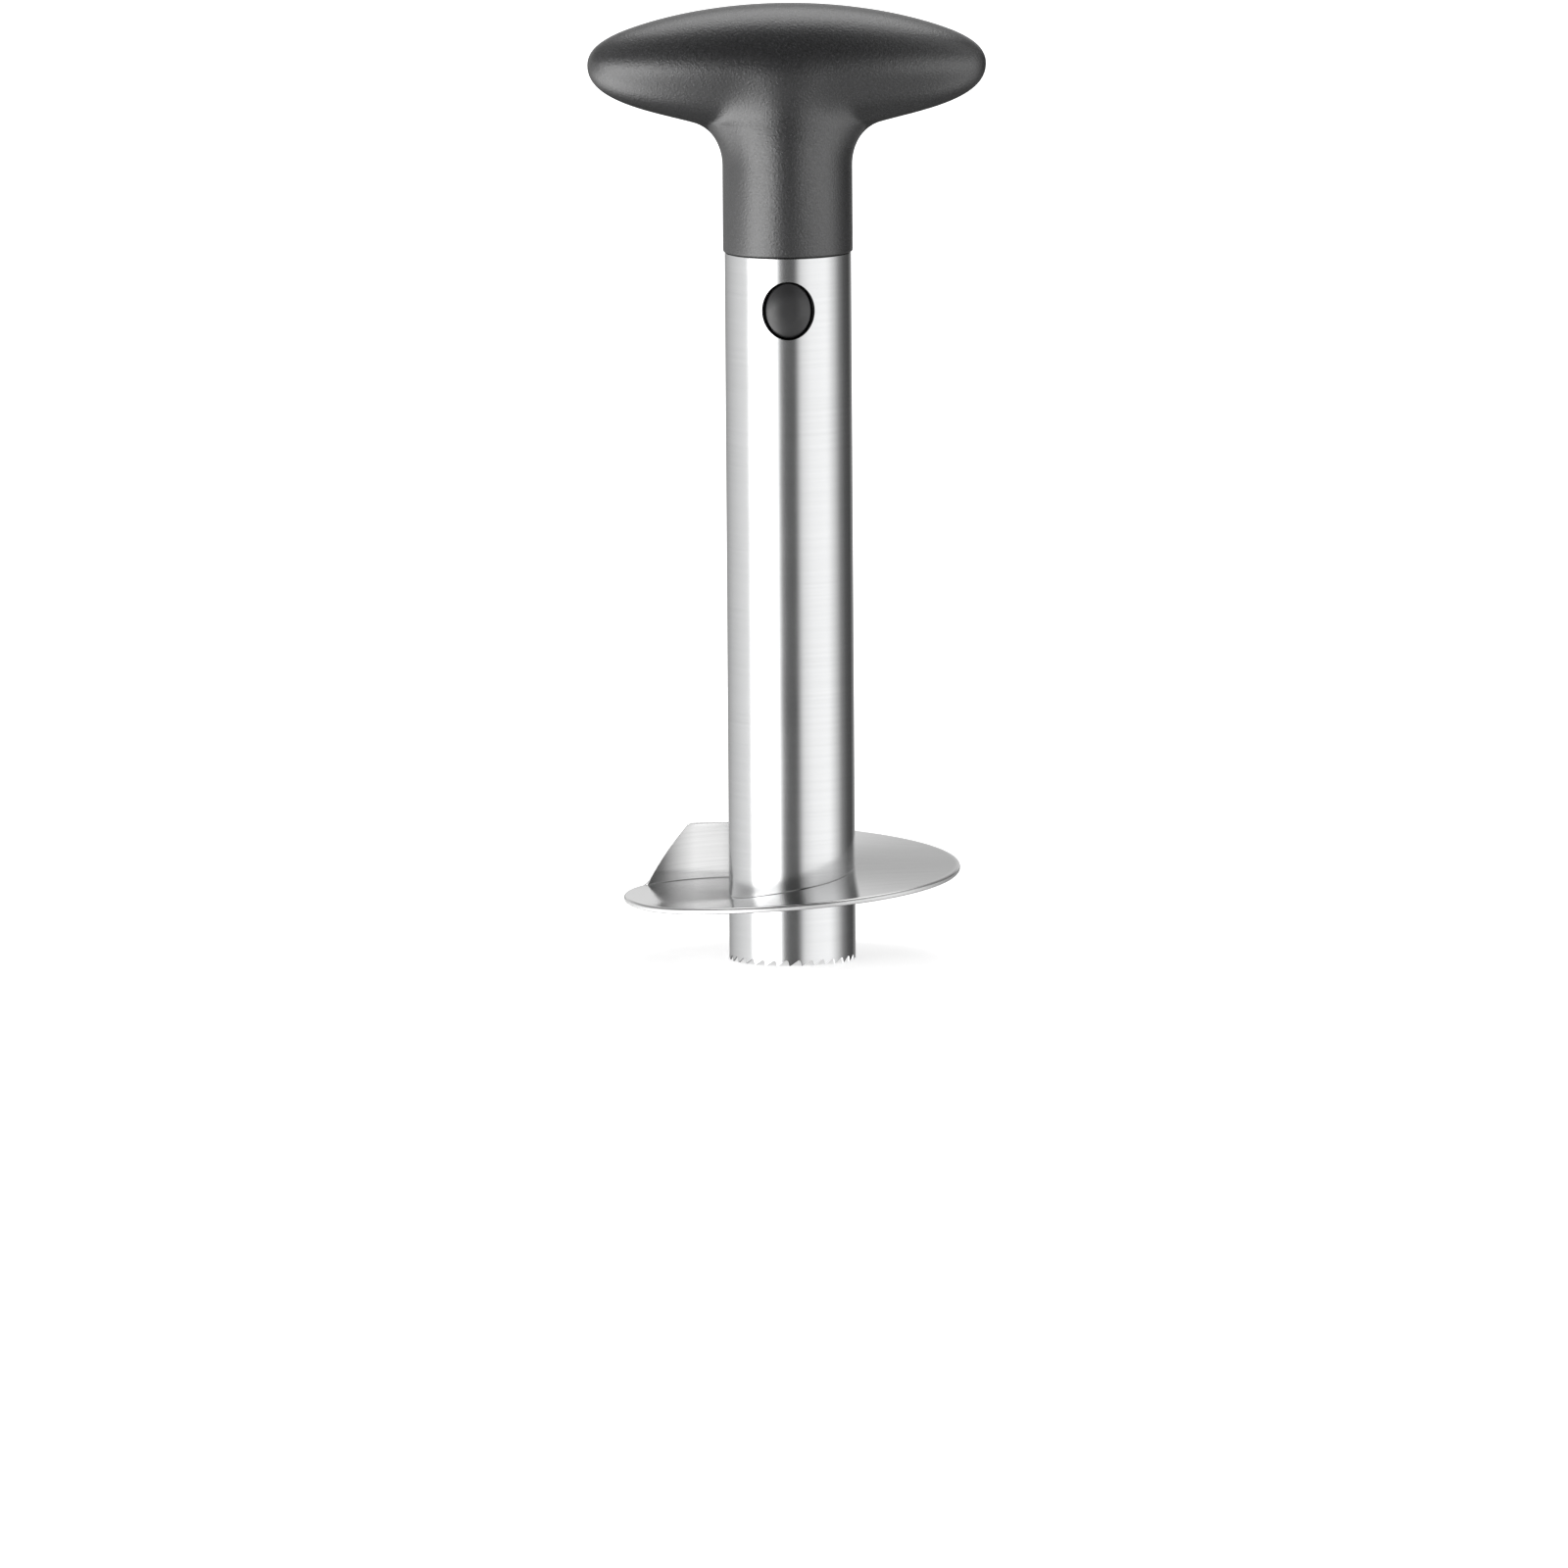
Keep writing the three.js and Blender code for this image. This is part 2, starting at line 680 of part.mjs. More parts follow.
const shells = gripShells();
const blade = piece("slicing_blade", slicingBlade(), steel);
blade.rotation.z = leadAngle * radians;
const slicer = new THREE.Group();
slicer.add(
  piece("coring_tube", coringTube(), steel),
  blade,
  piece("grip_front_shell", shells.front, blackPlastic),
  piece("grip_rear_shell", shells.rear, blackPlastic),
  piece("spigot", spigot(), blackPlastic),
  piece("spigot_end_cap", endCap(), blackPlastic),
  piece("cap_screw", capScrew(), steel),
  piece("latch_front", latch(-1), blackPlastic),
  piece("latch_rear", latch(1), blackPlastic),
);

export default slicer;
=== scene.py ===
"""The looks of a pineapple slicer: a toothed steel coring tube with a helical ring blade at its foot, and a
black T-handle whose two sprung buttons lock it in the tube's top. Metres, +Z up, -Y the front."""
import math

import bmesh
import bpy
from bpy.props import FloatProperty, FloatVectorProperty, IntProperty, PointerProperty
from bpy.types import NodeSocket, Operator, Panel, PropertyGroup
from mathutils import Matrix, Vector
from mathutils.geometry import interpolate_bezier


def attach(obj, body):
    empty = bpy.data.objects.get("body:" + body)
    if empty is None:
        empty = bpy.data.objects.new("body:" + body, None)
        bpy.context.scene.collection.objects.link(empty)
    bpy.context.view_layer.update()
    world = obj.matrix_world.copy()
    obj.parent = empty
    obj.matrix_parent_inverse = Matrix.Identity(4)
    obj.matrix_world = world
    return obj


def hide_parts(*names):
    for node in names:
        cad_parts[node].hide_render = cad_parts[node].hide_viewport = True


bl_info = {
    "name": "Pineapple slicer",
    "version": (1, 0, 0),
    "blender": (4, 5, 0),
    "location": "3D View > Sidebar > Slicer",
    "description": "Builds a pineapple slicer with a pull-off T-handle, and the studio it stands in",
    "category": "Object",
}

MM = 0.001
MERGE = 0.002 * MM
AXIS = {"cent": (0, 0, 0), "axis": (0, 0, 1)}

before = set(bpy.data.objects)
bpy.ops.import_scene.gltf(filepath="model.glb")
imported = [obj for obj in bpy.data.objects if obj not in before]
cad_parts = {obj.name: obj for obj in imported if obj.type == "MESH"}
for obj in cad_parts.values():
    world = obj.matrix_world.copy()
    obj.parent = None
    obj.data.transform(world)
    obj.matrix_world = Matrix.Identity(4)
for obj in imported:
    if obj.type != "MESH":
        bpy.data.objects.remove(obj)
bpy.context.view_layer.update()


# Sizes and colours that a user would change


def size(name, description, millimetres):
    """A length, given in millimetres and kept in metres"""
    metres = millimetres * MM
    return FloatProperty(name=name, description=description, default=metres, unit="LENGTH", precision=5)


def turn(name, description, degrees):
    """An angle, given in degrees"""
    return FloatProperty(name=name, description=description, default=math.radians(degrees), subtype="ANGLE")


def share(name, description, value):
    """A part of a whole, from nought to one"""
    return FloatProperty(name=name, description=description, default=value, min=0, max=1, subtype="FACTOR")


def number(name, description, value, unit="NONE"):
    """A number that is no length, angle or share"""
    return FloatProperty(name=name, description=description, default=value, unit=unit)


def colour(name, description, value):
    """A colour, as red, green and blue"""
    whole = {"min": 0, "max": 1, "subtype": "COLOR"}
    return FloatVectorProperty(name=name, description=description, default=value, **whole)


class TubeSizes(PropertyGroup):
    radius: size("Radius", "Outside radius of the coring tube", 16)
    wall: size("Wall", "Thickness of the tube's wall", 1)
    length: size("Length", "Length of the tube, teeth included", 180)
    end_round: size("End round", "Rounding of the tube's top edge", 0.2)
    tooth_count: IntProperty(name="Teeth", description="Number of teeth round the foot", default=32, min=3)
    tooth_depth: size("Tooth depth", "Depth of the gullets between the teeth", 1.4)
    tooth_turn: turn("Tooth turn", "Place of the first tooth round the tube", -3)
    tip_wall: size("Tip wall", "Thickness that is left at the teeth", 0.35)
    bevel_height: size("Bevel height", "Height of the ground bevel inside the teeth", 1.6)
    hole_half_width: size("Hole half width", "Half the width of a latch hole", 6.65)
    hole_half_height: size("Hole half height", "Half the height of a latch hole", 7.4)
    hole_drop: size("Hole drop", "Distance of the holes' centres below the tube's top", 13.3)
    hole_edge: size("Hole edge", "Rounding of the punched edge", 0.14)


class BladeSizes(PropertyGroup):
    radius: size("Radius", "Outside radius of the ring", 42.6)
    bore: size("Bore", "Radius of the ring's inner edge, just inside the tube's skin", 15.95)
    thickness: size("Thickness", "Thickness of the sheet", 1.5)
    height: size("Height", "Height of the underside at the leading edge", 14.9)
    climb: size("Climb", "Height that the ring gains in a turn, one slice", 12.1)
    lead: turn("Lead", "Place of the leading edge round the tube", 90)
    flat: turn("Flat", "How far the ring runs level behind its leading edge", 113)
    ease: share("Ease", "Part of the climb in which its slope grows", 0.12)
    rim_round: size("Rim round", "Rounding of the ring's rim", 0.6)
    edge: size("Edge", "Thickness left at the cutting edges", 0.25)
    edge_grind: turn("Edge grind", "Angle of the ground bevel at the leading edge", 15)
    weld: size("Weld", "Size of the weld fillet at the tube", 0.35)
    dip: size("Dip", "How far the leading end is pressed down", 1.3)
    dip_end: turn("Dip end", "Place where that eases out", 80)
    wing_height: size("Wing height", "Height of the wing above the ring", 14.0)
    wing_fall: size("Wing fall", "How far the wing's top falls from its shoulder to its cutting edge", 1.1)
    wing_lead: turn("Wing lead", "Place of the foot of the wing's cutting edge", 1)
    wing_rake: turn("Wing rake", "How far the wing's cutting edge leans back", 8)
    wing_shoulder: turn("Wing shoulder", "Place where the wing's top begins to fall", 39.2)
    wing_shoulder_round: turn("Shoulder round", "Length of the rounding at that place", 3)
    wing_foot: turn("Wing foot", "Place where the wing runs out into the rim", 63.2)
    wing_grind: turn("Wing grind", "Angle of the ground bevel at the wing's edge", 22)
    wing_round: size("Wing round", "Rounding of the wing's top edges", 0.3)
    slope_grind: size("Slope grind", "Height of the bevel ground outside the wing's slope", 2.8)
    slope_round: size("Slope round", "Rounding left inside that bevel's edge", 0.1)
    fold: size("Fold", "Inside radius of the fold between ring and wing", 0.25)
    fold_back: size("Fold back", "Outside radius of the fold", 1.3)


class GripSizes(PropertyGroup):
    half_length: size("Half length", "Half the length of the bar", 50.38)
    foot: size("Foot", "Height of the collar's lower edge", 180.2)
    top: size("Top", "Height of the bar's top above the collar's edge", 63)
    nose: size("Nose", "Height of the bar's noses above the collar's edge", 47.4)
    half_depth: size("Half depth", "Half the bar's depth from front to back", 15.8)
    stem_radius: size("Stem radius", "Outside radius of the stem", 16.42)
    flare: share("Flare", "Place where the stem begins to widen, as a share of the nose height", 0.46)
    root: share("Root", "Half-width of the flared stem at the bar, as a share of the half length", 0.43)
    root_ease: size("Root ease", "Half-width over which the flare eases into that width", 4)
    pull: number("Pull", "How far the flare's sides are drawn out, 0 is a plain oval", 1.2)
    belly: share("Belly", "Place where the bar's belly ends, as a share of the nose height", 0.63)
    belly_power: number("Belly power", "Fullness of the bar's belly, 2 is oval", 1.75)
    belly_ease: size("Belly ease", "Height over which the belly begins", 2.5)
    blend: number("Blend", "How sharply bar and stem meet, higher is sharper", 6)
    fade: number("Fade", "How late the stem fades out in the bar", 3)
    collar_round: size("Collar round", "Rounding of the collar's lower edge", 0.45)
    wall: size("Wall", "Thickness of the shells", 2.4)
    crown: size("Crown", "Half-width of the flat where the skin closes at the top", 0.25)
    seam: size("Seam", "Gap between the two shells, too narrow to see through", 0.004)
    seam_round: size("Seam round", "Rounding of the shells' edges at the seam", 0.09)


class SpigotSizes(PropertyGroup):
    radius: size("Radius", "Outside radius of the spigot", 14.8)
    bore: size("Bore", "Radius of its bore", 11.6)
    low: size("Low", "Height of its lower end", 153.3)
    shoulder: size("Shoulder", "Height of the shoulder below the neck", 179.8)
    neck_radius: size("Neck radius", "Radius of the neck in the grip", 13.72)
    neck_top: size("Neck top", "Height of the neck's upper end", 200.6)
    web: size("Web", "Thickness of the web and of the tab", 2.4)
    tab_half_width: size("Tab half width", "Half the width of the tab", 11.5)
    tab_top: size("Tab top", "Height of the tab's upper end", 216)
    edge_round: size("Edge round", "Rounding of its moulded edges", 0.4)
    cap_low: size("Cap low", "Height of the end cap's lower face", 150.1)
    cap_gap: size("Cap gap", "Gap between the end cap and the spigot", 0.2)
    cap_plug: size("Cap plug", "Height of the end cap's plug", 2)
    cap_round: size("Cap round", "Rounding of the end cap's rim", 1)
    screw_radius: size("Screw radius", "Radius of the screw's shank", 1.5)
    screw_length: size("Screw length", "Length of the screw's shank", 12)
    head_radius: size("Head radius", "Radius of the screw's head", 2.9)
    head_height: size("Head height", "Height of the screw's head", 1.8)
    drive_width: size("Drive width", "Width of the driver slot", 0.9)
    drive_depth: size("Drive depth", "Depth of the driver slot", 0.8)


class LatchSizes(PropertyGroup):
    half_width: size("Half width", "Half the width of a button", 5.7)
    half_height: size("Half height", "Half the height of a button", 6.95)
    centre: size("Centre", "Height of the buttons' centres", 166.7)
    face: size("Face", "Distance of a button's highest point from the axis", 16.7)
    dome: size("Dome", "Height of a button's dome", 1.35)
    dome_power: number("Dome power", "How flat a button's middle is, 2 is a plain dome", 3)
    edge_round: size("Edge round", "Rounding of a button's rim", 0.8)
    arm_inner: size("Arm inner", "Distance of the arm's inner face from the axis", 8.75)
    arm_outer: size("Arm outer", "Distance of the arm's outer face from the axis", 10.35)
    arm_half_width: size("Arm half width", "Half the width of the springy arm", 4.6)
    arm_low: size("Arm low", "Height of the arm's lower end", 157.75)
    arm_top: size("Arm top", "Height of the arm's upper end", 198.6)
    foot_half_width: size("Foot half width", "Half the width of the hooked foot", 3.5)
    foot_height: size("Foot height", "Height of the hooked foot", 4)
    foot_reach: size("Foot reach", "Distance of the foot's tip from the axis", 12.96)
    window_gap: size("Window gap", "Gap between a button and the spigot's window", 0.5)
    slot_gap: size("Slot gap", "Gap between a foot and the spigot's slot", 0.3)
    arm_round: size("Arm round", "Rounding of the arm's edges", 0.3)


class Finishes(PropertyGroup):
    tube_steel: colour("Tube steel", "Colour of the polished tube", (0.74, 0.745, 0.75))
    blade_steel: colour("Blade steel", "Colour of the brushed blade", (0.66, 0.66, 0.66))
    rim_steel: colour("Rim steel", "Colour of the blade's ground rim", (0.92, 0.92, 0.92))
    screw_steel: colour("Screw steel", "Colour of the screw", (0.55, 0.55, 0.56))
    grip_plastic: colour("Grip plastic", "Colour of the grained grip", (0.017, 0.017, 0.018))
    inner_plastic: colour("Inner plastic", "Colour of the buttons, spigot and end cap", (0.02, 0.02, 0.021))
    tube_roughness: share("Tube roughness", "Roughness of the polished tube", 0.16)
    blade_roughness: share("Blade roughness", "Roughness of the brushed blade", 0.115)
    rim_roughness: share("Rim roughness", "Roughness of the blade's ground rim", 0.55)
    screw_roughness: share("Screw roughness", "Roughness of the screw", 0.32)
    grip_roughness: share("Grip roughness", "Roughness of the grip", 0.3)
    inner_roughness: share("Inner roughness", "Roughness of the buttons, spigot and end cap", 0.4)


class StudioSizes(PropertyGroup):
    distance: size("Camera distance", "Distance of the camera from the middle of the picture", 8000)
    elevation: turn("Camera elevation", "How far the camera looks down", 7.35)
    roll: turn("Camera roll", "How far the camera is turned clockwise", 0.387)
    aim_side: size("Aim side", "Place in X of the middle of the picture", -1.89)
    aim_height: size("Aim height", "Height of the middle of the picture", 44.4)
    picture_width: size("Picture width", "Width that the picture takes in at that distance", 397.1)
    floor_half_width: size("Floor half width", "Half the width of the floor", 9000)
    floor_colour: colour("Floor", "Colour of the floor", (0.82, 0.82, 0.82))
    floor_white: share("Floor white", "How white the floor shows of itself round the slicer", 0.6)
    lamp_power: number("Lamps", "Power of the lamps in watts", 20, unit="POWER")
    overhead: number("Overhead", "Strength of the softbox overhead", 2.1)
    table: number("Table", "Strength of what shines up from below the camera", 0.45)
    fill: number("Fill", "Strength of the soft light from all round", 0.5)


# Shapes


def arc(centre, radius, start, end, steps):
    """Points on a stretch of a circle, from one angle in degrees to another"""
    angles = [math.radians(start + (end - start) * i / steps) for i in range(steps + 1)]
    return [(centre[0] + radius * math.cos(a), centre[1] + radius * math.sin(a)) for a in angles]


def around(sides):
    """Directions spread evenly all round, as (cosine, sine) pairs"""
    angles = [math.tau * i / sides for i in range(sides)]
    return [(math.cos(a), math.sin(a)) for a in angles]


def oval(half_width, half_height, centre, y, sides=96):
    """A ring of points on an upright oval that faces the front"""
    return [(half_width * across, y, centre + half_height * up) for across, up in around(sides)]


def held(value):
    """A value held between nought and one"""
    return min(max(value, 0), 1)


def parts(made, kind):
    """Of what an operator made, the parts of one kind"""
    return [part for part in made if isinstance(part, kind)]


def tidy(bm):
    """Merges doubled points and turns all faces outwards"""
    bmesh.ops.remove_doubles(bm, verts=bm.verts, dist=MERGE)
    bmesh.ops.dissolve_degenerate(bm, dist=MERGE, edges=bm.edges)
    bmesh.ops.recalc_face_normals(bm, faces=bm.faces)
    return bm


def outline(bm, points, closed=True):
    """Draws points and the edges between them, and back to the first one where it is closed"""
    verts = [bm.verts.new(point) for point in points]
    ends = verts[1:] + verts[:1] if closed else verts[1:]
    return verts, [bm.edges.new(pair) for pair in zip(verts, ends)]


def loft(rings):
    """A closed skin drawn out ring by ring, through rings of as many points each"""
    bm = bmesh.new()
    place = bm.verts.layers.int.new("place")
    verts, edges = outline(bm, rings[0])
    for i, vert in enumerate(verts):
        vert[place] = i
    bmesh.ops.contextual_create(bm, geom=edges)
    for ring in rings[1:]:
        made = bmesh.ops.extrude_edge_only(bm, edges=edges)["geom"]
        edges = parts(made, bmesh.types.BMEdge)
        for vert in parts(made, bmesh.types.BMVert):
            vert.co = ring[vert[place]]
    bmesh.ops.contextual_create(bm, geom=edges)
    return tidy(bm)


def revolve(profile, steps=128, closed=True):
    """A profile of (radius, height) pairs spun round the axis"""
    bm = bmesh.new()
    verts, edges = outline(bm, [(radius, 0, height) for radius, height in profile], closed)
    bmesh.ops.spin(bm, geom=verts + edges, angle=math.tau, steps=steps, use_merge=True, **AXIS)
    return tidy(bm)


def round_edges(bm, edges, rounding, segments=2):
    """Rounds edges, in so many segments"""
    kind = {"profile": 0.5, "affect": "EDGES", "material": -1, "clamp_overlap": True}
    bmesh.ops.bevel(bm, geom=edges, offset=rounding, segments=segments, **kind)


def block(low, high, rounding=0.0):
    """A block between two corners, with rounded edges where a rounding is given"""
    low, high = Vector(low), Vector(high)
    bm = bmesh.new()
    bmesh.ops.create_cube(bm, size=1)
    bmesh.ops.scale(bm, vec=high - low, verts=bm.verts)
    bmesh.ops.translate(bm, vec=(high + low) / 2, verts=bm.verts)
    if rounding:
        round_edges(bm, bm.edges, rounding, segments=3)
    return bm


def prism(corners, drawn):
    """Corners in one plane, drawn out along a vector"""
    bm = bmesh.new()
    face = bm.faces.new([bm.verts.new(corner) for corner in corners])
    made = bmesh.ops.extrude_face_region(bm, geom=[face])["geom"]
    bmesh.ops.translate(bm, vec=drawn, verts=parts(made, bmesh.types.BMVert))
    bmesh.ops.recalc_face_normals(bm, faces=bm.faces)
    return bm


def thing(name, bm):
    """Puts a shape in the scene"""
    mesh = bpy.data.meshes.new(name)
    bm.to_mesh(mesh)
    bm.free()
    made = bpy.data.objects.new(name, mesh)
    bpy.context.scene.collection.objects.link(made)
    return made


def change(target, action, *details):
    """Lets a function change the shape of a thing"""
    bm = bmesh.new()
    bm.from_mesh(target.data)
    action(bm, *details)
    bm.to_mesh(target.data)
    bm.free()


def combine(target, shapes, operation):
    """Cuts shapes off a thing, or joins them to it, for good"""
    for bm in shapes:
        tool = thing("tool", bm)
        modifier = target.modifiers.new("combine", "BOOLEAN")
        modifier.operation = operation
        modifier.solver = "EXACT"
        modifier.object = tool
        graph = bpy.context.evaluated_depsgraph_get()
        old, spent = target.data, tool.data
        target.data = bpy.data.meshes.new_from_object(target.evaluated_get(graph))
        target.modifiers.clear()
        bpy.data.objects.remove(tool)
        bpy.data.meshes.remove(old)
        bpy.data.meshes.remove(spent)
    return target


def finish_piece(piece, material, slot, body, *nodes, sharp=35, flats=True):
    """Shades a piece, gives it its material, and lets it ride on its body in place of the nodes it stands
    for. Flats keep an even shade, and the roundings between them take up the whole turn."""
    mesh = piece.data
    mesh.name = piece.name
    mesh.materials.clear()
    mesh.materials.append(material)
    mesh.shade_smooth()
    mesh.set_sharp_from_angle(angle=math.radians(sharp))
    if flats:
        piece.modifiers.new("even flats", "WEIGHTED_NORMAL").keep_sharp = True
    if not mesh.polygons:
        raise RuntimeError(piece.name + " came out empty")
    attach(piece, body)
    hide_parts(*nodes)
    return piece


# Coring tube

# One tooth as shares of its pitch and of its depth: a land, a long relief, a gullet, a steep face.
TOOTH_SHARES = ((0, 0), (0.09, 0), (0.29, 0.315), (0.49, 0.63), (0.68, 0.93), (0.8, 1), (0.9, 0.88), (1, 0))


def tube_wall(s):
    """The wall's outline at a tooth's land, as (radius, height) pairs"""
    bore = s.radius - s.wall
    rim = s.length - s.end_round
    return (
        [(s.radius - s.tip_wall, 0), (s.radius, 0)]
        + arc((s.radius - s.end_round, rim), s.end_round, 0, 90, steps=3)
        + arc((bore + s.end_round, rim), s.end_round, 90, 180, steps=3)
        + [(bore, s.bevel_height)]
    )


def toothed_tube(s):
    """Carries the wall round one tooth, repeats that strip round the tube, and punches the latch holes"""
    bm = bmesh.new()
    verts, edges = outline(bm, [(radius, 0, height) for radius, height in tube_wall(s)])
    pitch = math.tau / s.tooth_count
    for (here, depth), (there, next_depth) in zip(TOOTH_SHARES, TOOTH_SHARES[1:]):
        angle = (there - here) * pitch
        made = bmesh.ops.spin(bm, geom=verts + edges, angle=angle, steps=1, use_merge=False, **AXIS)
        verts = parts(made["geom_last"], bmesh.types.BMVert)
        edges = parts(made["geom_last"], bmesh.types.BMEdge)
        low = [vert for vert in verts if vert.co.z < s.length / 2]
        bmesh.ops.translate(bm, vec=(0, 0, (next_depth - depth) * s.tooth_depth), verts=low)
    strip = bm.verts[:] + bm.edges[:] + bm.faces[:]
    rest = s.tooth_count - 1
    bmesh.ops.spin(bm, geom=strip, angle=pitch * rest, steps=rest, use_duplicate=True, **AXIS)
    bmesh.ops.rotate(bm, cent=(0, 0, 0), matrix=Matrix.Rotation(s.tooth_turn, 3, "Z"), verts=bm.verts)
    tube = thing("toothed_tube", tidy(bm))
    reach = s.radius + s.wall
    centre = s.length - s.hole_drop
    hole = [oval(s.hole_half_width, s.hole_half_height, centre, y) for y in (-reach, reach)]
    combine(tube, [loft(hole)], "DIFFERENCE")
    change(tube, round_holes, s)
    return tube


def round_holes(bm, s):
    """Rounds the outer edges of the two punched holes"""
    centre = s.length - s.hole_drop
    skin = s.radius - s.wall / 4
    coarse_merge, nearness = 0.01 * MM, 0.004
    bmesh.ops.remove_doubles(bm, verts=bm.verts, dist=coarse_merge)

    def on_edge(vert):
        across = math.hypot(vert.co.x / s.hole_half_width, (vert.co.z - centre) / s.hole_half_height)
        return abs(across - 1) < nearness and math.hypot(vert.co.x, vert.co.y) > skin

    round_edges(bm, [edge for edge in bm.edges if all(on_edge(vert) for vert in edge.verts)], s.hole_edge)


def true_round(tube):
    """Gives the tube's round walls the shading of a true cylinder"""
    least_facing = 0.985
    mesh = tube.data
    normals = [Vector(corner.vector) for corner in mesh.corner_normals]
    for face in mesh.polygons:
        outward = Vector((face.center.x, face.center.y, 0)).normalized()
        facing = face.normal.dot(outward)
        if abs(facing) < least_facing:
            continue
        for i in face.loop_indices:
            point = mesh.vertices[mesh.loops[i].vertex_index].co
            normals[i] = Vector((point.x, point.y, 0)).normalized() * math.copysign(1, facing)
    mesh.normals_split_custom_set(normals)


# Slicing blade


def dip_at(s, angle):
    """How far the leading end is pressed down"""
    return s.dip * max(0.0, 1 - angle / s.dip_end) ** 2


def underside(s, angle):
    """Height of the sheet's underside: a dip at the lead, a level stretch, then one slice up"""
    climbed = max(0.0, (angle - s.flat) / (math.tau - s.flat))
    climb = climbed**2 / (2 * s.ease) if climbed < s.ease else climbed - s.ease / 2
    return s.height + s.climb * climb / (1 - s.ease / 2) - dip_at(s, angle)


def past_shoulder(s, angle):
    """How far an angle lies through the rounding of the wing's shoulder, which runs from nought to one"""
    return (angle - s.wing_shoulder) / s.wing_shoulder_round + 0.5


def wing_rise(s, angle):
    """Height of the wing above the dipping ring: a raked edge, a nearly level top, a shoulder, a slope"""
    slope = s.wing_height / (s.wing_foot - s.wing_shoulder)
    top_lead = s.wing_lead + s.wing_rake
    tip = s.wing_height - s.wing_fall + dip_at(s, top_lead)
    rise = tip * (angle - s.wing_lead) / s.wing_rake
    past = past_shoulder(s, angle)
    level = s.wing_height - slope * s.wing_shoulder_round * held(past) ** 2 / 2
    level -= s.wing_fall * max(0, (s.wing_shoulder - angle) / (s.wing_shoulder - top_lead))
    fall = level if past < 1 else slope * (s.wing_foot - angle)
    return max(0.0, min(rise, fall + dip_at(s, angle)))


def blade_section(s, angle):
    """The sheet's outline at an angle behind the leading edge, as (radius, height) pairs"""
    low = underside(s, angle)
    high = low + s.thickness
    rise = wing_rise(s, angle)
    top = high + rise
    folded = min(1.0, rise / (2 * s.fold))
    back = s.rim_round + (s.fold_back - s.rim_round) * folded
    crest = s.rim_round + (s.wing_round - s.rim_round) * folded
    sloping = folded * held(past_shoulder(s, angle))
    inner_crest = min(s.wing_round + (s.slope_round - s.wing_round) * sloping, rise / 3)
    crest_steps = 5
    outer_crest = arc((s.radius - crest, top - crest), crest, 0, 90, crest_steps)
    bevel_foot = top - min(s.slope_grind, s.thickness + rise - back - s.edge / 2)
    for i, (across, up) in enumerate(outer_crest):
        flat_across = s.radius - (s.thickness - s.edge) * i / crest_steps
        flat_up = bevel_foot + (top - bevel_foot) * i / crest_steps
        outer_crest[i] = (across + (flat_across - across) * sloping, up + (flat_up - up) * sloping)
    inner = s.radius - s.thickness
    fillet = min(s.fold, rise / 2)
    weld = s.bore + s.weld
    return (
        arc((weld, low - s.weld), s.weld, 180, 90, steps=3)
        + arc((s.radius - back, low + back), back, -90, 0, steps=6)
        + outer_crest
        + arc((inner + inner_crest, top - inner_crest), inner_crest, 90, 180, steps=4)
        + arc((inner - fillet, high + fillet), fillet, 0, -90, steps=5)
        + arc((weld, high + s.weld), s.weld, -90, -180, steps=3)
    )


def blade_angles(s):
    """Angles behind the leading edge, close together at the wing and evenly spread past it"""
    wing_step, ring_step = math.radians(0.75), math.radians(1.5)
    marks = [0, s.wing_lead, s.wing_lead + s.wing_rake, s.wing_foot, math.tau]
    angles = []
    for start, end in zip(marks, marks[1:]):
        count = math.ceil((end - start) / (wing_step if end <= s.wing_foot else ring_step))
        angles += [start + (end - start) * i / count for i in range(count)]
    return angles + [math.tau]


def edge_grind(s):
    """The wedge that is ground off the sheet's top behind its straight leading edge"""
    slope = math.tan(s.edge_grind)
    length = (s.thickness - s.edge) / slope
    low = underside(s, 0) + s.edge
    start = s.bore + s.weld
    past = length + 2 * s.thickness
    corners = [
        (start, -s.thickness, low - s.thickness * slope),
        (start, past, low + past * slope),
        (start, -s.thickness, low + 2 * s.thickness),
    ]
    return prism(corners, (s.radius - s.thickness - s.fold - start, 0, 0))


def wing_grind(s):
    """The wedge that is ground off the wing's inner face behind its raked leading edge"""
    overrun = 1.1
    floor = underside(s, s.wing_lead) + s.thickness
    top = s.height + s.thickness + s.wing_height

    def rim_point(angle, height):
        return Vector((s.radius * math.cos(angle), s.radius * math.sin(angle), height))

    foot = rim_point(s.wing_lead, floor)
    tip = rim_point(s.wing_lead + s.wing_rake, top)
    inwards = Vector((-foot.x, -foot.y, 0)).normalized()
    along = Vector((inwards.y, -inwards.x, 0))
    back = along * math.cos(s.wing_grind) + inwards * math.sin(s.wing_grind)
    edge = foot + inwards * s.edge
    length = s.thickness / math.sin(s.wing_grind)
    start = edge - back * s.thickness
    lift = Vector((0, 0, s.fold / 2))
    corners = [start + lift, edge + back * length + lift, start + inwards * 2 * s.thickness + lift]
    return prism(corners, (tip - foot) * overrun)


def fill_corners(bm):
    """Fills the three-sided holes that cutting can leave where corners meet"""
    bmesh.ops.holes_fill(bm, edges=[edge for edge in bm.edges if edge.is_boundary], sides=3)


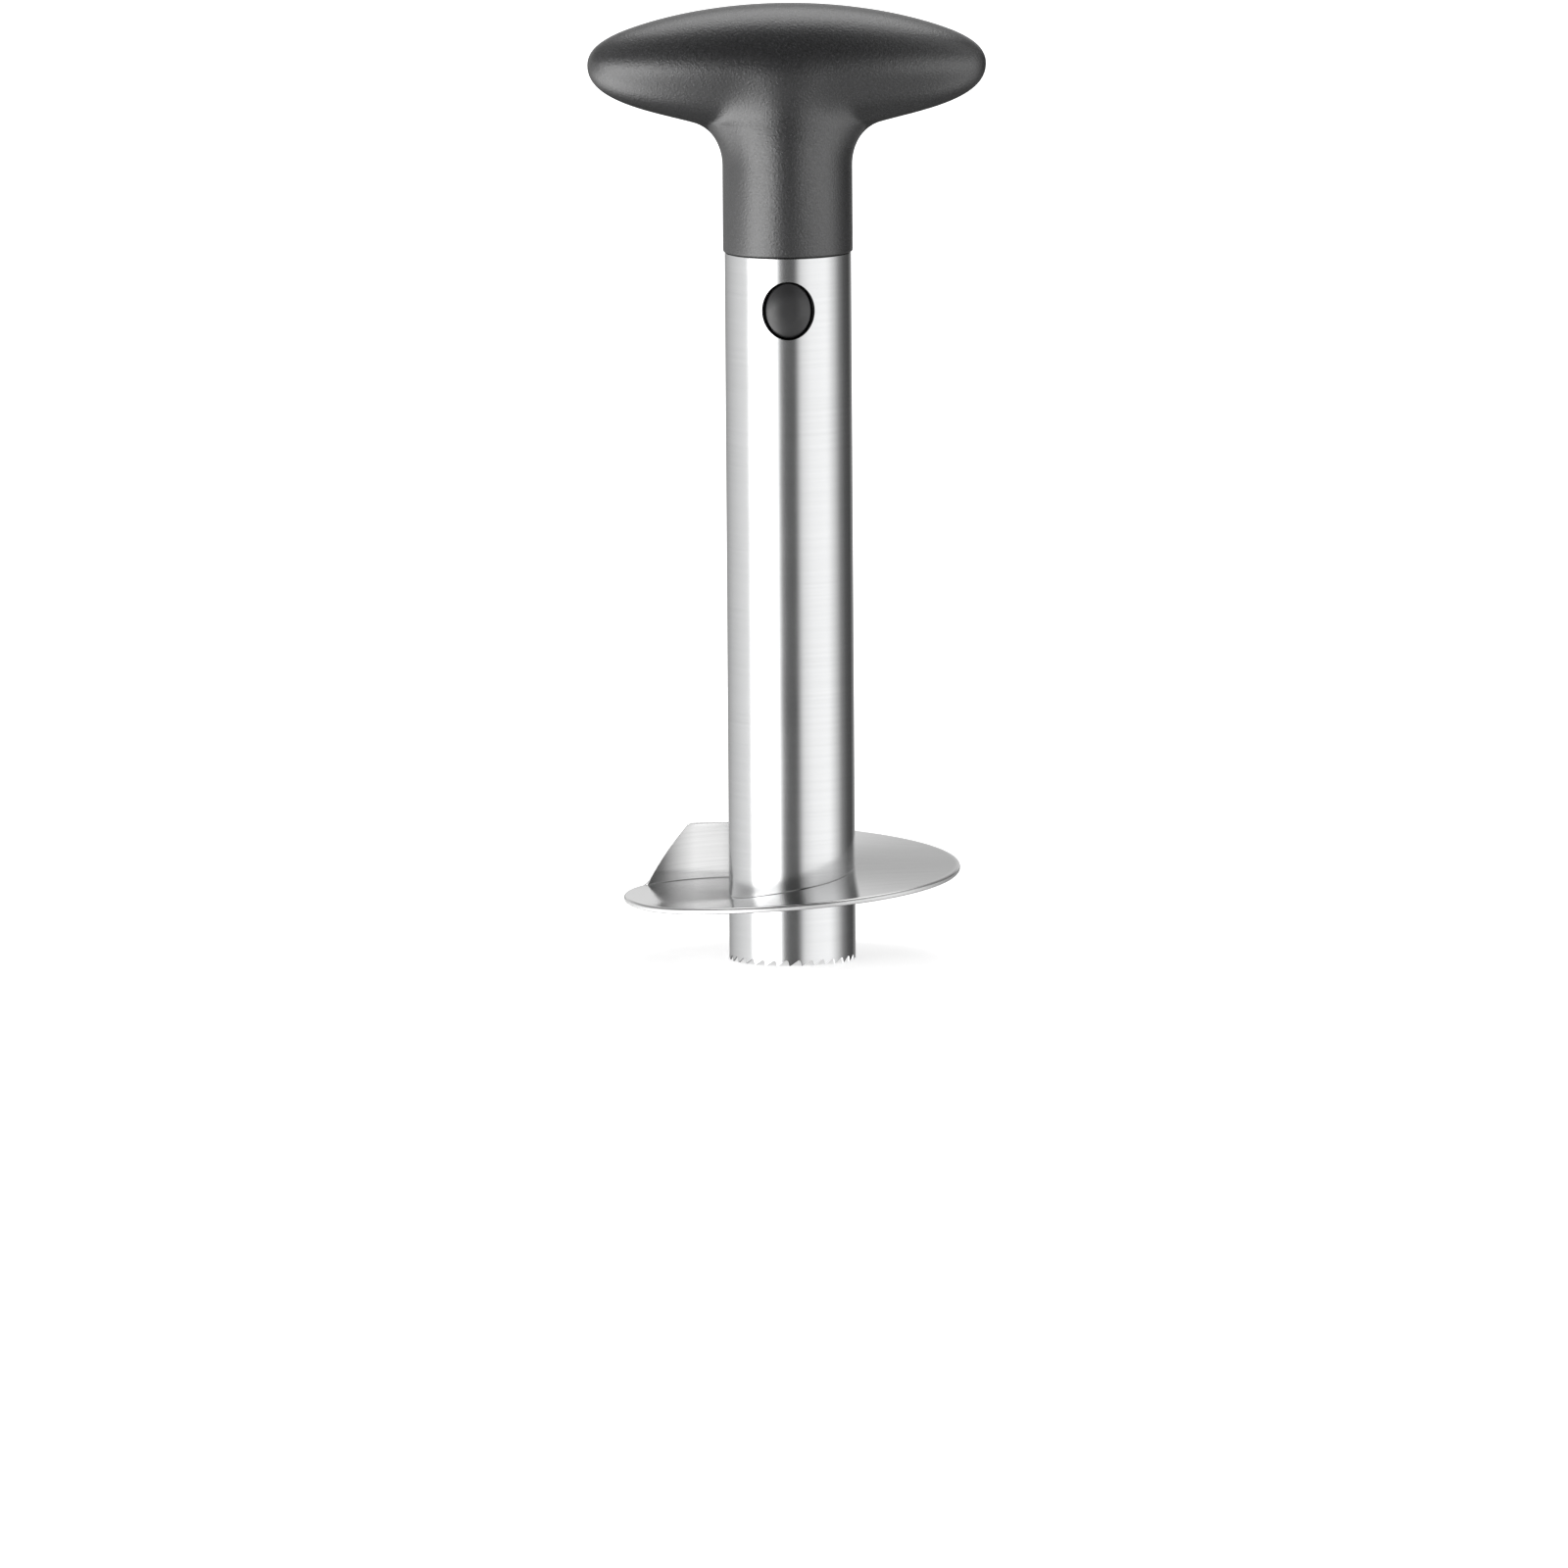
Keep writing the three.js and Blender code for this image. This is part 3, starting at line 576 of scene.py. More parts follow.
def helical_blade(s):
    """Draws the section round the tube, grinds the cutting edges, and turns the lead to its place"""
    rings = []
    for angle in blade_angles(s):
        c, d = math.cos(angle), math.sin(angle)
        rings.append([(radius * c, radius * d, height) for radius, height in blade_section(s, angle)])
    blade = thing("helical_blade", loft(rings))
    combine(blade, [edge_grind(s), wing_grind(s)], "DIFFERENCE")
    change(blade, fill_corners)
    blade.data.transform(Matrix.Rotation(s.lead, 4, "Z"))
    return blade


# Grip

# How finely the grip is drawn: points in a level ring, and steps along the four curves of its outline.
GRIP_SIDES = 192
SKIN_STEPS = (28, 36, 28, 56)
HOLLOW_STEPS = (6, 6, 6, 8)


def grip_outline(s, steps):
    """Half the grip's front outline from the flare to the top, as (half-width, height) pairs"""
    length, stem = s.half_length, s.stem_radius

    def point(across, up, over=0):
        """A point at shares of the height up to the noses and of the height over them"""
        return Vector((across, s.foot + s.nose * up + (s.top - s.nose) * over, 0))

    root = point(0.47 * length, 0.692)
    nose = point(length, 1)
    shoulder = point(0.84 * length, 1, 0.535)
    stretches = (
        (point(stem, s.flare), point(stem, 0.565), point(0.375 * length, 0.662), root),
        (root, point(0.67 * length, 0.752), point(length, 0.805), nose),
        (nose, point(length, 1, 0.25), point(0.935 * length, 1, 0.4), shoulder),
        (shoulder, point(0.68 * length, 1, 0.745), point(0.38 * length, 1, 1), point(0, 1, 1)),
    )
    drawn = []
    for stretch, count in zip(stretches, steps):
        drawn += interpolate_bezier(*stretch, count + 1)[:-1]
    return [(p.x, p.y) for p in drawn] + [(0, s.foot + s.top)]


def inset(drawn, wall, s):
    """An outline moved inwards by a wall, which ends in a small flat at the top"""
    moved = []
    for i, (across, up) in enumerate(drawn):
        before, after = drawn[max(i - 1, 0)], drawn[min(i + 1, len(drawn) - 1)]
        along = Vector((after[0] - before[0], after[1] - before[1])).normalized()
        moved.append((across - along.y * wall, up + along.x * wall))
    top = s.foot + s.top - wall
    return [p for p in moved if p[0] > s.crown and p[1] < top - MERGE] + [(s.crown, top)]


def soft(a, b, power):
    """The greater of two lengths, running softly over into one another"""
    return (a**power + b**power) ** (1 / power)


def eased(value, most, ease):
    """A value that is held to a most, easing into it"""
    ease = max(ease, MERGE)
    over = min(max(value - most + ease, 0), 2 * ease)
    return min(value, most + ease) - over**2 / (4 * ease)


def bar_depth(s, height, wall):
    """Half the bar's depth at a height: an oval above the noses and a fuller belly below them"""
    nose = s.foot + s.nose
    above = height >= nose
    reach = (s.foot + s.top - nose if above else s.nose * (1 - s.belly)) - wall
    power = 2 if above else s.belly_power
    offset = min(1, abs(height - nose) / reach)
    depth = max(s.crown, (s.half_depth - wall) * (1 - offset**power) ** (1 / power))
    begun = 1 if above else held((height - nose + reach) / s.belly_ease)
    return max(s.crown, depth * begun**2 * (3 - 2 * begun))


def grip_section(s, half_width, height, wall):
    """A level section of the grip: the bar's oval and the stem's, which is drawn out to the sides where the
    stem flares and fades out towards the top, run softly into one another"""
    flare = s.foot + s.nose * s.flare
    fading = 1 - held((height - flare) / (s.foot + s.top - flare)) ** s.fade
    most = (s.half_length * s.root - wall) * fading
    stem = max(MERGE, eased(half_width, most, s.root_ease * fading))
    stem_depth = max(MERGE, min(half_width, (s.stem_radius - wall) * fading))
    power = (stem / stem_depth) ** s.pull / 2
    depth = min(half_width, bar_depth(s, height, wall))
    ring = []
    for across, along in around(GRIP_SIDES):
        inside = max(0, 1 - (half_width * across / stem) ** 2)
        reached = soft(stem_depth * inside**power, depth * abs(along), s.blend)
        ring.append((half_width * across, math.copysign(reached, along), height))
    return ring


def hollow_grip(s):
    """The whole grip: its hollow down to the collar, the collar's edge, and its skin up to the top"""
    bore = s.stem_radius - s.wall
    flare = s.foot + s.nose * s.flare
    inside = [p for p in inset(grip_outline(s, HOLLOW_STEPS), s.wall, s) if p[1] > flare + s.wall]
    rings = [grip_section(s, across, up, s.wall) for across, up in reversed(inside)]
    edge = s.collar_round
    collar = [(bore, flare), (bore, s.foot + edge / 2), (bore + edge / 2, s.foot)]
    collar += arc((s.stem_radius - edge, s.foot + edge), edge, -90, 0, steps=4)
    for radius, height in collar:
        rings.append([(radius * across, radius * along, height) for across, along in around(GRIP_SIDES)])
    skin = inset(grip_outline(s, SKIN_STEPS), 0, s)
    rings += [grip_section(s, across, up, 0) for across, up in skin]
    return loft(rings)


def grip_shell(s, name, face):
    """One shell, in front (-1) or behind (1): half the hollow grip, with its edge rounded at the seam"""
    bm = hollow_grip(s)
    everything = bm.verts[:] + bm.edges[:] + bm.faces[:]
    parting = {"plane_co": (0, face * s.seam / 2, 0), "plane_no": (0, -face, 0), "clear_outer": True}
    made = bmesh.ops.bisect_plane(bm, geom=everything, dist=MERGE / 4, **parting)
    cut = parts(made["geom_cut"], bmesh.types.BMEdge)
    bmesh.ops.edgenet_fill(bm, edges=cut)
    bmesh.ops.recalc_face_normals(bm, faces=bm.faces)
    round_edges(bm, [edge for edge in cut if edge.is_valid and is_outside(s, edge)], s.seam_round)
    return thing(name, bm)


def is_outside(s, edge):
    """Whether an edge in the parting plane lies on the grip's skin, and not on its hollow"""
    in_parting = 0.9
    middle = (edge.verts[0].co + edge.verts[1].co) / 2
    if middle.z < s.foot + s.nose * s.flare:
        return abs(middle.x) > s.stem_radius - s.collar_round / 4
    walls = [face for face in edge.link_faces if abs(face.normal.y) < in_parting]
    return bool(walls) and walls[0].normal.dot(middle - Vector((0, 0, s.foot + s.nose))) > 0


# Latches, spigot, end cap and screw

# The screw head's dome, as shares of the head's radius and of the dome's height.
HEAD_SHARES = ((0, 0), (0.55, 0.12), (0.85, 0.5), (1, 1))


def button_rings(s):
    """A button's rings from its root over its rounded rim to its dome, as (inset, distance out) pairs"""
    dome_steps = 14
    tilt = math.atan(s.dome_power * s.dome / s.half_width)
    side = s.face - s.dome - s.edge_round * math.cos(tilt)
    rings = [(0.0, s.arm_inner + s.arm_round)]
    for across, up in arc((0, 0), s.edge_round, 180, 90 + math.degrees(tilt), steps=8):
        rings.append((s.edge_round + across, side + up))
    rim = rings[-1][0]
    for i in range(1, dome_steps):
        out = 1 - i / dome_steps
        rings.append((s.half_width - (s.half_width - rim) * out, s.face - s.dome * out**s.dome_power))
    return rings


def latch(s, name, face):
    """A latch, in front (-1) or behind (1): a hooked foot, a springy arm and a domed oval button"""
    stretch = s.half_height / s.half_width
    button = loft([
        oval(s.half_width - inset_by, s.half_height - inset_by * stretch, s.centre, face * out)
        for inset_by, out in button_rings(s)
    ])
    near, far = sorted((face * s.arm_inner, face * s.arm_outer))
    arm = block((-s.arm_half_width, near, s.arm_low), (s.arm_half_width, far, s.arm_top), s.arm_round)
    near, far = sorted((face * (s.arm_inner + s.arm_round), face * s.foot_reach))
    foot_low = s.arm_top - s.foot_height
    foot = block((-s.foot_half_width, near, foot_low), (s.foot_half_width, far, s.arm_top), s.arm_round)
    return combine(thing(name, arm), [button, foot], "UNION")


def spigot(s, latches):
    """The plug in the tube: a bored wall with a necked top, a web and a tab, cut open for the latches"""
    r = s.edge_round
    wall = [(s.bore, s.low)] + arc((s.radius - r, s.low + r), r, -90, 0, steps=4)
    wall += arc((s.radius - r, s.shoulder - r), r, 0, 90, steps=4)
    wall += [(s.neck_radius, s.shoulder), (s.neck_radius, s.neck_top - r), (s.neck_radius - r, s.neck_top)]
    wall += [(s.bore, s.neck_top)]
    body = thing("spigot_plug", revolve(wall))
    half = s.web / 2
    web = block((-s.bore - r, -half, s.low + s.cap_plug + r), (s.bore + r, half, s.neck_top))
    tab = block((-s.tab_half_width, -half, s.neck_top - r), (s.tab_half_width, half, s.tab_top), r)
    combine(body, [web, tab], "UNION")
    wide, tall = latches.half_width + latches.window_gap, latches.half_height + latches.window_gap
    gap = latches.slot_gap
    for face in (-1, 1):
        depths = (face * latches.arm_inner, face * (s.radius + r))
        window = loft([oval(wide, tall, latches.centre, y, sides=72) for y in depths])
        near, far = sorted(depths)
        low = (-latches.foot_half_width - gap, near, latches.arm_top - latches.foot_height - gap)
        high = (latches.foot_half_width + gap, far, latches.arm_top + gap)
        combine(body, [window, block(low, high)], "DIFFERENCE")
    return body


def end_cap(s):
    """The cap below the spigot, with a rounded rim, a plug and a counterbore for the screw"""
    top = s.low - s.cap_gap
    plug = s.bore - s.cap_gap
    hole, counterbore = s.screw_radius + s.cap_gap, s.head_radius + s.cap_gap * 1.5
    seat = s.cap_low + s.head_height + s.cap_gap
    lip = s.edge_round / 2
    profile = [(hole, seat), (counterbore, seat)]
    profile += [(counterbore, s.cap_low + lip), (counterbore + lip, s.cap_low)]
    profile += arc((s.radius - s.cap_round, s.cap_low + s.cap_round), s.cap_round, -90, 0, steps=6)
    profile += [(s.radius, top - lip), (s.radius - lip, top), (plug, top), (plug, s.low + s.cap_plug)]
    profile += [(hole, s.low + s.cap_plug)]
    return thing("spigot_cap", revolve(profile))


def cap_screw(s):
    """The slotted screw that holds the end cap, head down"""
    head_top = s.cap_low + s.head_height
    dome = s.head_height / 3
    tip = head_top + s.screw_length
    profile = [(s.head_radius * out, s.cap_low + dome * up) for out, up in HEAD_SHARES]
    profile += [(s.head_radius, head_top), (s.screw_radius, head_top)]
    profile += [(s.screw_radius, tip - s.screw_radius), (0, tip)]
    screw = thing("slotted_screw", revolve(profile, steps=48, closed=False))
    half = s.drive_width / 2
    slot = block((-s.head_radius, -half, s.cap_low - dome), (s.head_radius, half, s.cap_low + s.drive_depth))
    return combine(screw, [slot], "DIFFERENCE")


# Materials

USUAL_IOR = 1.5
PLASTIC_IOR = 1.58


class Wiring:
    """The nodes of a material or of the world, and the calls that join them"""

    def __init__(self, tree):
        self.nodes, self.links = tree.nodes, tree.links

    def feed(self, socket, value):
        """Joins a socket to another node's output, or sets it to a plain value"""
        if isinstance(value, NodeSocket):
            self.links.new(value, socket)
        else:
            socket.default_value = value

    def add(self, kind, output, inputs=None, **settings):
        """Adds a node with its settings and its inputs, by name or place, and hands back one output"""
        node = self.nodes.new("ShaderNode" + kind)
        for name, setting in settings.items():
            setattr(node, name, setting)
        for name, value in (inputs or {}).items():
            self.feed(node.inputs[name], value)
        return node.outputs[output]

    def split(self, vector):
        """The X, Y and Z of a vector"""
        node = self.nodes.new("ShaderNodeSeparateXYZ")
        self.links.new(vector, node.inputs["Vector"])
        return node.outputs

    def spread(self, value, low, high, start=0.3, end=0.7, kind="LINEAR"):
        """The value carried over from the range between start and end to the one between low and high"""
        inputs = {"Value": value, "From Min": start, "From Max": end, "To Min": low, "To Max": high}
        return self.add("MapRange", "Result", inputs, interpolation_type=kind)

    def between(self, factor, first, second):
        """The first value where the factor is nought, the second where it is one"""
        return self.add("Mix", "Result", {"Factor": factor, "A": first, "B": second})

    def calculate(self, operation, first, second=0):
        """One value worked out from another or from two"""
        return self.add("Math", "Value", {0: first, 1: second}, operation=operation)

    def product(self, first, *others):
        """All the values multiplied together"""
        for other in others:
            first = self.calculate("MULTIPLY", first, other)
        return first

    def ramp(self, value, stops):
        """A colour found by a value among stops, which are (place, colour) pairs in rising order"""
        node = self.nodes.new("ShaderNodeValToRGB")
        elements = node.color_ramp.elements
        elements.remove(elements[1])
        for i, (place, shade) in enumerate(stops):
            stop = elements.new(place) if i else elements[0]
            stop.position = place
            stop.color = (*shade, 1)
        self.links.new(value, node.inputs["Fac"])
        return node.outputs["Color"]


class Finish(Wiring):
    """A material under construction, with its principled shader"""

    def __init__(self, name, colour, roughness, metallic=0, ior=USUAL_IOR):
        self.material = bpy.data.materials.new(name)
        self.material.use_nodes = True
        super().__init__(self.material.node_tree)
        self.shader = self.nodes["Principled BSDF"]
        self.put("Base Color", (*colour, 1))
        self.put("Roughness", roughness)
        self.put("Metallic", metallic)
        self.put("IOR", ior)
        self.place = self.nodes.new("ShaderNodeTexCoord").outputs

    def put(self, name, value):
        """Sets one of the shader's own sockets, or joins it to a value"""
        self.feed(self.shader.inputs[name], value)

    def noise(self, scale, detail=2.0, roughness=0.5):
        """A noise in the object's own coordinates, with so many grains to the metre along X, Y and Z"""
        vector = self.add("Mapping", "Vector", {"Vector": self.place["Object"], "Scale": scale})
        inputs = {"Vector": vector, "Scale": 1, "Detail": detail, "Roughness": roughness}
        return self.add("TexNoise", "Fac", inputs)

    def tint(self, value, *colours):
        """The base colour, run through the colours by a value"""
        last = len(colours) - 1
        self.put("Base Color", self.ramp(value, [(i / last, shade) for i, shade in enumerate(colours)]))

    def relief(self, height, depth, strength=1.0, below=None):
        """Raises the surface by a height, to a depth in metres"""
        inputs = {"Height": height, "Distance": depth, "Strength": strength}
        if below:
            inputs["Normal"] = below
        raised = self.add("Bump", "Normal", inputs)
        self.put("Normal", raised)
        return raised


def shaded(colour, factor):
    """A colour made darker or paler by a factor"""
    return [channel * factor for channel in colour]


def polished_steel(f):
    """Drawn and polished tube steel: faint level lines round the tube, and soft clouds"""
    finish = Finish("polished_tube_steel", f.tube_steel, f.tube_roughness, metallic=1)
    lines = finish.noise((18, 18, 1100), detail=6, roughness=0.65)
    clouds = finish.noise((90, 90, 40), detail=3)
    finish.tint(lines, shaded(f.tube_steel, 0.86), f.tube_steel)
    finish.put("Roughness", finish.spread(clouds, f.tube_roughness * 0.9, f.tube_roughness * 1.15))
    finish.relief(lines, depth=0.006 * MM, strength=0.6)
    finish.put("Anisotropic", 0.5)
    finish.put("Tangent", finish.add("Tangent", "Tangent", direction_type="RADIAL", axis="Z"))
    return finish.material


def ground_edges(finish, s):
    """One on the ring's ground rim and on the wing's ground crest, nought elsewhere. Distances out from the
    axis are compared as squares."""
    x, y, z = finish.split(finish.place["Object"])
    up = finish.split(finish.place["Normal"])["Z"]
    out = finish.calculate("ADD", finish.calculate("POWER", x, 2), finish.calculate("POWER", y, 2))
    off_wing = finish.calculate("MAXIMUM", x, finish.product(y, -1))
    off_wing = finish.spread(off_wing, 0, 1, start=0, end=MM)
    rim_start, rim_end = s.radius - 0.5 * MM, s.radius - 0.2 * MM
    rim = finish.product(
        finish.spread(out, 0, 1, start=rim_start**2, end=rim_end**2),
        off_wing,
        finish.spread(up, 1, 0, start=0.2, end=0.5),
    )
    inner, blur = s.radius - s.thickness, 0.05 * MM
    above_ring = s.height + s.thickness + 0.4 * MM
    crest = finish.product(
        finish.spread(out, 0, 1, start=(inner - blur) ** 2, end=(inner + blur) ** 2),
        finish.spread(off_wing, 1, 0, start=0, end=1),
        finish.spread(up, 0, 1, start=0.15, end=0.35),
        finish.spread(z, 0, 1, start=above_ring, end=above_ring + MM),
    )
    return finish.calculate("MAXIMUM", rim, crest)


def brushed_steel(f, s):
    """Brushed sheet steel: the grain runs along X on the ring, and level along the wing. The ring's rim and
    the wing's crest are ground."""
    finish = Finish("brushed_blade_steel", f.blade_steel, f.blade_roughness, metallic=1)
    level = finish.noise((24, 1500, 60), detail=5, roughness=0.6)
    upright = finish.noise((24, 24, 1500), detail=5, roughness=0.6)
    flatness = finish.calculate("ABSOLUTE", finish.split(finish.place["Normal"])["Z"])
    grain = finish.between(finish.spread(flatness, 0, 1, start=0.4, end=0.8), upright, level)
    ground = ground_edges(finish, s)
    shade = finish.calculate("MAXIMUM", finish.product(grain, 0.7), ground)
    finish.tint(shade, shaded(f.blade_steel, 0.85), f.blade_steel, f.rim_steel)
    clouds = finish.noise((70, 70, 70), detail=3)
    rough = finish.spread(clouds, f.blade_roughness * 0.9, f.blade_roughness * 1.12)
    finish.put("Roughness", finish.calculate("MAXIMUM", rough, finish.product(ground, f.rim_roughness)))
    finish.relief(grain, depth=0.012 * MM, strength=0.7)
    return finish.material


def screw_steel(f):
    """Plain screw steel with a fine grain"""
    finish = Finish("plain_screw_steel", f.screw_steel, f.screw_roughness, metallic=1)
    grain = finish.noise((3000, 3000, 3000))
    finish.tint(grain, shaded(f.screw_steel, 0.85), f.screw_steel)
    finish.relief(grain, depth=0.01 * MM, strength=0.5)
    return finish.material


def grained_plastic(f):
    """The grip's black plastic: a fine pebbled grain with a soft sheen"""
    finish = Finish("grained_black_plastic", f.grip_plastic, f.grip_roughness, ior=PLASTIC_IOR)
    pebbles = finish.noise((1900, 1900, 1900), roughness=0.6)
    waves = finish.noise((420, 420, 420))
    speckle = finish.spread(pebbles, 0, 1, start=0.32, end=0.68)
    finish.tint(speckle, shaded(f.grip_plastic, 0.35), shaded(f.grip_plastic, 1.7))
    finish.put("Roughness", finish.spread(pebbles, f.grip_roughness * 1.15, f.grip_roughness * 0.88))
    below = finish.relief(waves, depth=0.03 * MM, strength=0.12)
    finish.relief(pebbles, depth=0.09 * MM, below=below)
    finish.put("Specular IOR Level", 1.0)
    return finish.material


def satin_plastic(f):
    """The smoother black plastic of the buttons, the spigot and the end cap, with faint tool marks"""
    finish = Finish("satin_black_plastic", f.inner_plastic, f.inner_roughness, ior=PLASTIC_IOR)
    marks = finish.noise((500, 500, 900), detail=3, roughness=0.55)
    finish.tint(marks, shaded(f.inner_plastic, 0.85), shaded(f.inner_plastic, 1.2))
    finish.put("Roughness", finish.spread(marks, f.inner_roughness * 1.1, f.inner_roughness * 0.9))
    finish.relief(marks, depth=0.01 * MM, strength=0.35)
    finish.put("Specular IOR Level", 0.7)
    return finish.material


def material_of(name, make):
    """The material of that name, made when it is first asked for"""
    return bpy.data.materials.get(name) or make(bpy.context.scene.slicer_finishes)


# Studio

# The lamps: name, direction round the slicer in degrees from the front, height, distance and width in metres,
# and share of the power
LAMPS = (
    ("left_softbox", -52, 0.5, 2.2, 1.2, 1.0),
    ("right_softbox", 52, 0.5, 2.2, 1.2, 0.7),
    ("overhead_softbox", 180, 2.4, 0.5, 1.4, 1.1),
)
LAMP_AIM = (0, 0, 0.12)

# What shines back from the slicer: degrees round from the front, left negative, and the strength from well
# below the camera's level, a little below it, a little above it, and aloft
SURROUND = (
    (-180, 0.42, 0.42, 0.94, 0.52),
    (-157, 0.40, 0.40, 0.92, 0.51),
    (-132, 0.65, 0.66, 0.85, 0.4),
    (-100, 2.4, 0.92, 0.5, 0.45),
    (-79, 3.3, 1.0, 0.45, 0.45),
    (-71, 3.4, 3.4, 0.5, 0.4),
    (-28, 1.5, 3.4, 0.4, 0.18),
    (-16, 0.25, 0.4, 0.06, 0.04),
    (-8, 0.2, 0.16, 0.05, 0.03),
    (12, 0.2, 0.12, 0.06, 0.03),
    (22, 0.22, 1.0, 0.6, 0.1),
    (40, 0.45, 1.25, 1.15, 0.3),
    (74, 1.1, 1.35, 1.15, 0.6),
    (90, 1.0, 0.85, 0.75, 0.65),
    (106, 0.4, 0.28, 0.34, 0.5),
    (122, 0.25, 0.11, 0.12, 0.3),
    (144, 0.2, 0.07, 0.12, 0.32),
    (160, 0.36, 0.36, 0.88, 0.5),
    (180, 0.42, 0.42, 0.94, 0.52),
)

# Between which upward shares of a direction one of those levels gives way to the next
BELOW_TAKES_OVER = (-0.5, -0.15)
ABOVE_TAKES_OVER = (0.0, 0.17)
ALOFT_TAKES_OVER = (0.1, 0.4)

# Well below the camera's level the light dims towards the front and the rear: to what share of itself, and
# between which sideways shares of a direction
DEEP_DIMMEST = 0.2
DEEP_DIMS = (0.15, 0.6)

# Broad patches on top of that: degrees over the front, 90 straight up and more towards the rear, and how
# nearly a direction has to point there for the patch to begin and to be full
OVERHEAD_PATCH = (114, 0.86, 0.965)
TABLE_PATCH = (-48, 0.72, 0.9)
FAR_TABLE_PATCH = (-105, 0.75, 0.95)
FAR_TABLE_STRENGTH = 0.2


def lay_floor(s):
    """A wide pale floor that takes the slicer's shadow. Glossy surfaces look past it at the studio."""
    bm = bmesh.new()
    bmesh.ops.create_grid(bm, x_segments=1, y_segments=1, size=s.floor_half_width)
    floor = thing("studio_floor", bm)
    finish = Finish("pale_floor", s.floor_colour, roughness=0.9)
    finish.put("Specular IOR Level", 0.1)
    finish.put("Emission Color", (1, 1, 1, 1))
    away = finish.add("VectorMath", "Value", {0: finish.place["Object"]}, operation="LENGTH")
    white = finish.spread(away, s.floor_white, 1, start=0.1, end=1)
    finish.put("Emission Strength", finish.product(finish.add("LightPath", "Is Camera Ray"), white))
    floor.data.materials.append(finish.material)
    floor.visible_glossy = False


def hang_lamps(s):
    """Broad soft lamps on both sides and overhead, which give the shadows"""
    for name, azimuth, height, distance, width, part in LAMPS:
        lamp = bpy.data.lights.new(name, "AREA")
        lamp.shape = "SQUARE"
        lamp.size = width
        lamp.energy = s.lamp_power * part
        holder = bpy.data.objects.new(name, lamp)
        angle = math.radians(azimuth)
        holder.location = (distance * math.sin(angle), -distance * math.cos(angle), height)
        holder.rotation_euler = (Vector(LAMP_AIM) - holder.location).to_track_quat("-Z", "Y").to_euler()
        holder.visible_glossy = False
        bpy.context.scene.collection.objects.link(holder)


class Sky(Wiring):
    """The world's nodes, with the direction that is looked in"""

    def __init__(self, tree):
        super().__init__(tree)
        self.side, back, self.up = self.split(self.add("TexCoord", "Generated"))
        self.front = self.product(back, -1)
        turned = self.calculate("DIVIDE", self.calculate("ARCTAN2", self.side, self.front), math.tau)
        self.azimuth = self.calculate("ADD", turned, 0.5)

    def band(self, strengths):
        """One level of the surround, from its strengths all round"""
        brightest = max(strengths)
        greys = [[strength / brightest] * 3 for strength in strengths]
        places = [row[0] / 360 + 0.5 for row in SURROUND]
        return self.product(self.ramp(self.azimuth, zip(places, greys)), brightest)

    def smooth(self, value, start, end, low=0, high=1):
        """The value carried over from one range to another as in spread, easing in and out"""
        return self.spread(value, low, high, start, end, kind="SMOOTHSTEP")

    def patch(self, degrees, start, end, high=1):
        """A broad patch at so many degrees over the front"""
        angle = math.radians(degrees)
        ahead, upwards = self.product(self.front, math.cos(angle)), self.product(self.up, math.sin(angle))
        return self.smooth(self.calculate("ADD", ahead, upwards), start, end, high=high)


def studio_seen(sky, s):
    """The studio that shows in glossy surfaces: softboxes left and right, a dark gap where the camera stands,
    a broad softbox overhead, a pale table and a pale rear"""
    deep, below, above, aloft = (sky.band(strengths) for strengths in list(zip(*SURROUND))[1:])
    sideways = sky.calculate("ABSOLUTE", sky.side)
    deep = sky.product(deep, sky.smooth(sideways, *DEEP_DIMS, low=DEEP_DIMMEST))
    deep = sky.calculate("MAXIMUM", deep, sky.patch(*TABLE_PATCH, high=s.table))
    below = sky.between(sky.smooth(sky.up, *BELOW_TAKES_OVER), deep, below)
    above = sky.between(sky.smooth(sky.up, *ALOFT_TAKES_OVER), above, aloft)
    seen = sky.between(sky.smooth(sky.up, *ABOVE_TAKES_OVER), below, above)
    seen = sky.between(sky.patch(*OVERHEAD_PATCH), seen, s.overhead)
    return sky.between(sky.patch(*FAR_TABLE_PATCH), seen, FAR_TABLE_STRENGTH)


def light_world(s):
    """An even pale light from all round, the studio for glossy surfaces, and white for the camera"""
    world = bpy.data.worlds.new("studio_surround")
    bpy.context.scene.world = world
    world.use_nodes = True
    sky = Sky(world.node_tree)
    glossy = sky.add("LightPath", "Is Glossy Ray")
    shiny = sky.calculate("MAXIMUM", glossy, sky.add("LightPath", "Is Transmission Ray"))
    strength = sky.between(shiny, s.fill, studio_seen(sky, s))
    strength = sky.between(sky.add("LightPath", "Is Camera Ray"), strength, 1)
    background = sky.nodes["Background"]
    sky.feed(background.inputs["Color"], (1, 1, 1, 1))
    sky.feed(background.inputs["Strength"], strength)


def set_camera(s):
    """A long lens that looks slightly down, from the front"""
    camera = bpy.data.cameras.new("camera")
    camera.sensor_width = 36
    camera.lens = camera.sensor_width * s.distance / s.picture_width
    camera.clip_start = 0.1
    camera.clip_end = 60
    holder = bpy.data.objects.new("camera", camera)
    aim = Vector((s.aim_side, 0, s.aim_height))
    back = Vector((0, -math.cos(s.elevation), math.sin(s.elevation)))
    tilt = Matrix.Rotation(math.radians(90) - s.elevation, 4, "X")
    roll = Matrix.Rotation(-s.roll, 4, "Z")
    holder.matrix_world = Matrix.Translation(aim + back * s.distance) @ tilt @ roll
    bpy.context.scene.collection.objects.link(holder)
    bpy.context.scene.camera = holder


# Operators


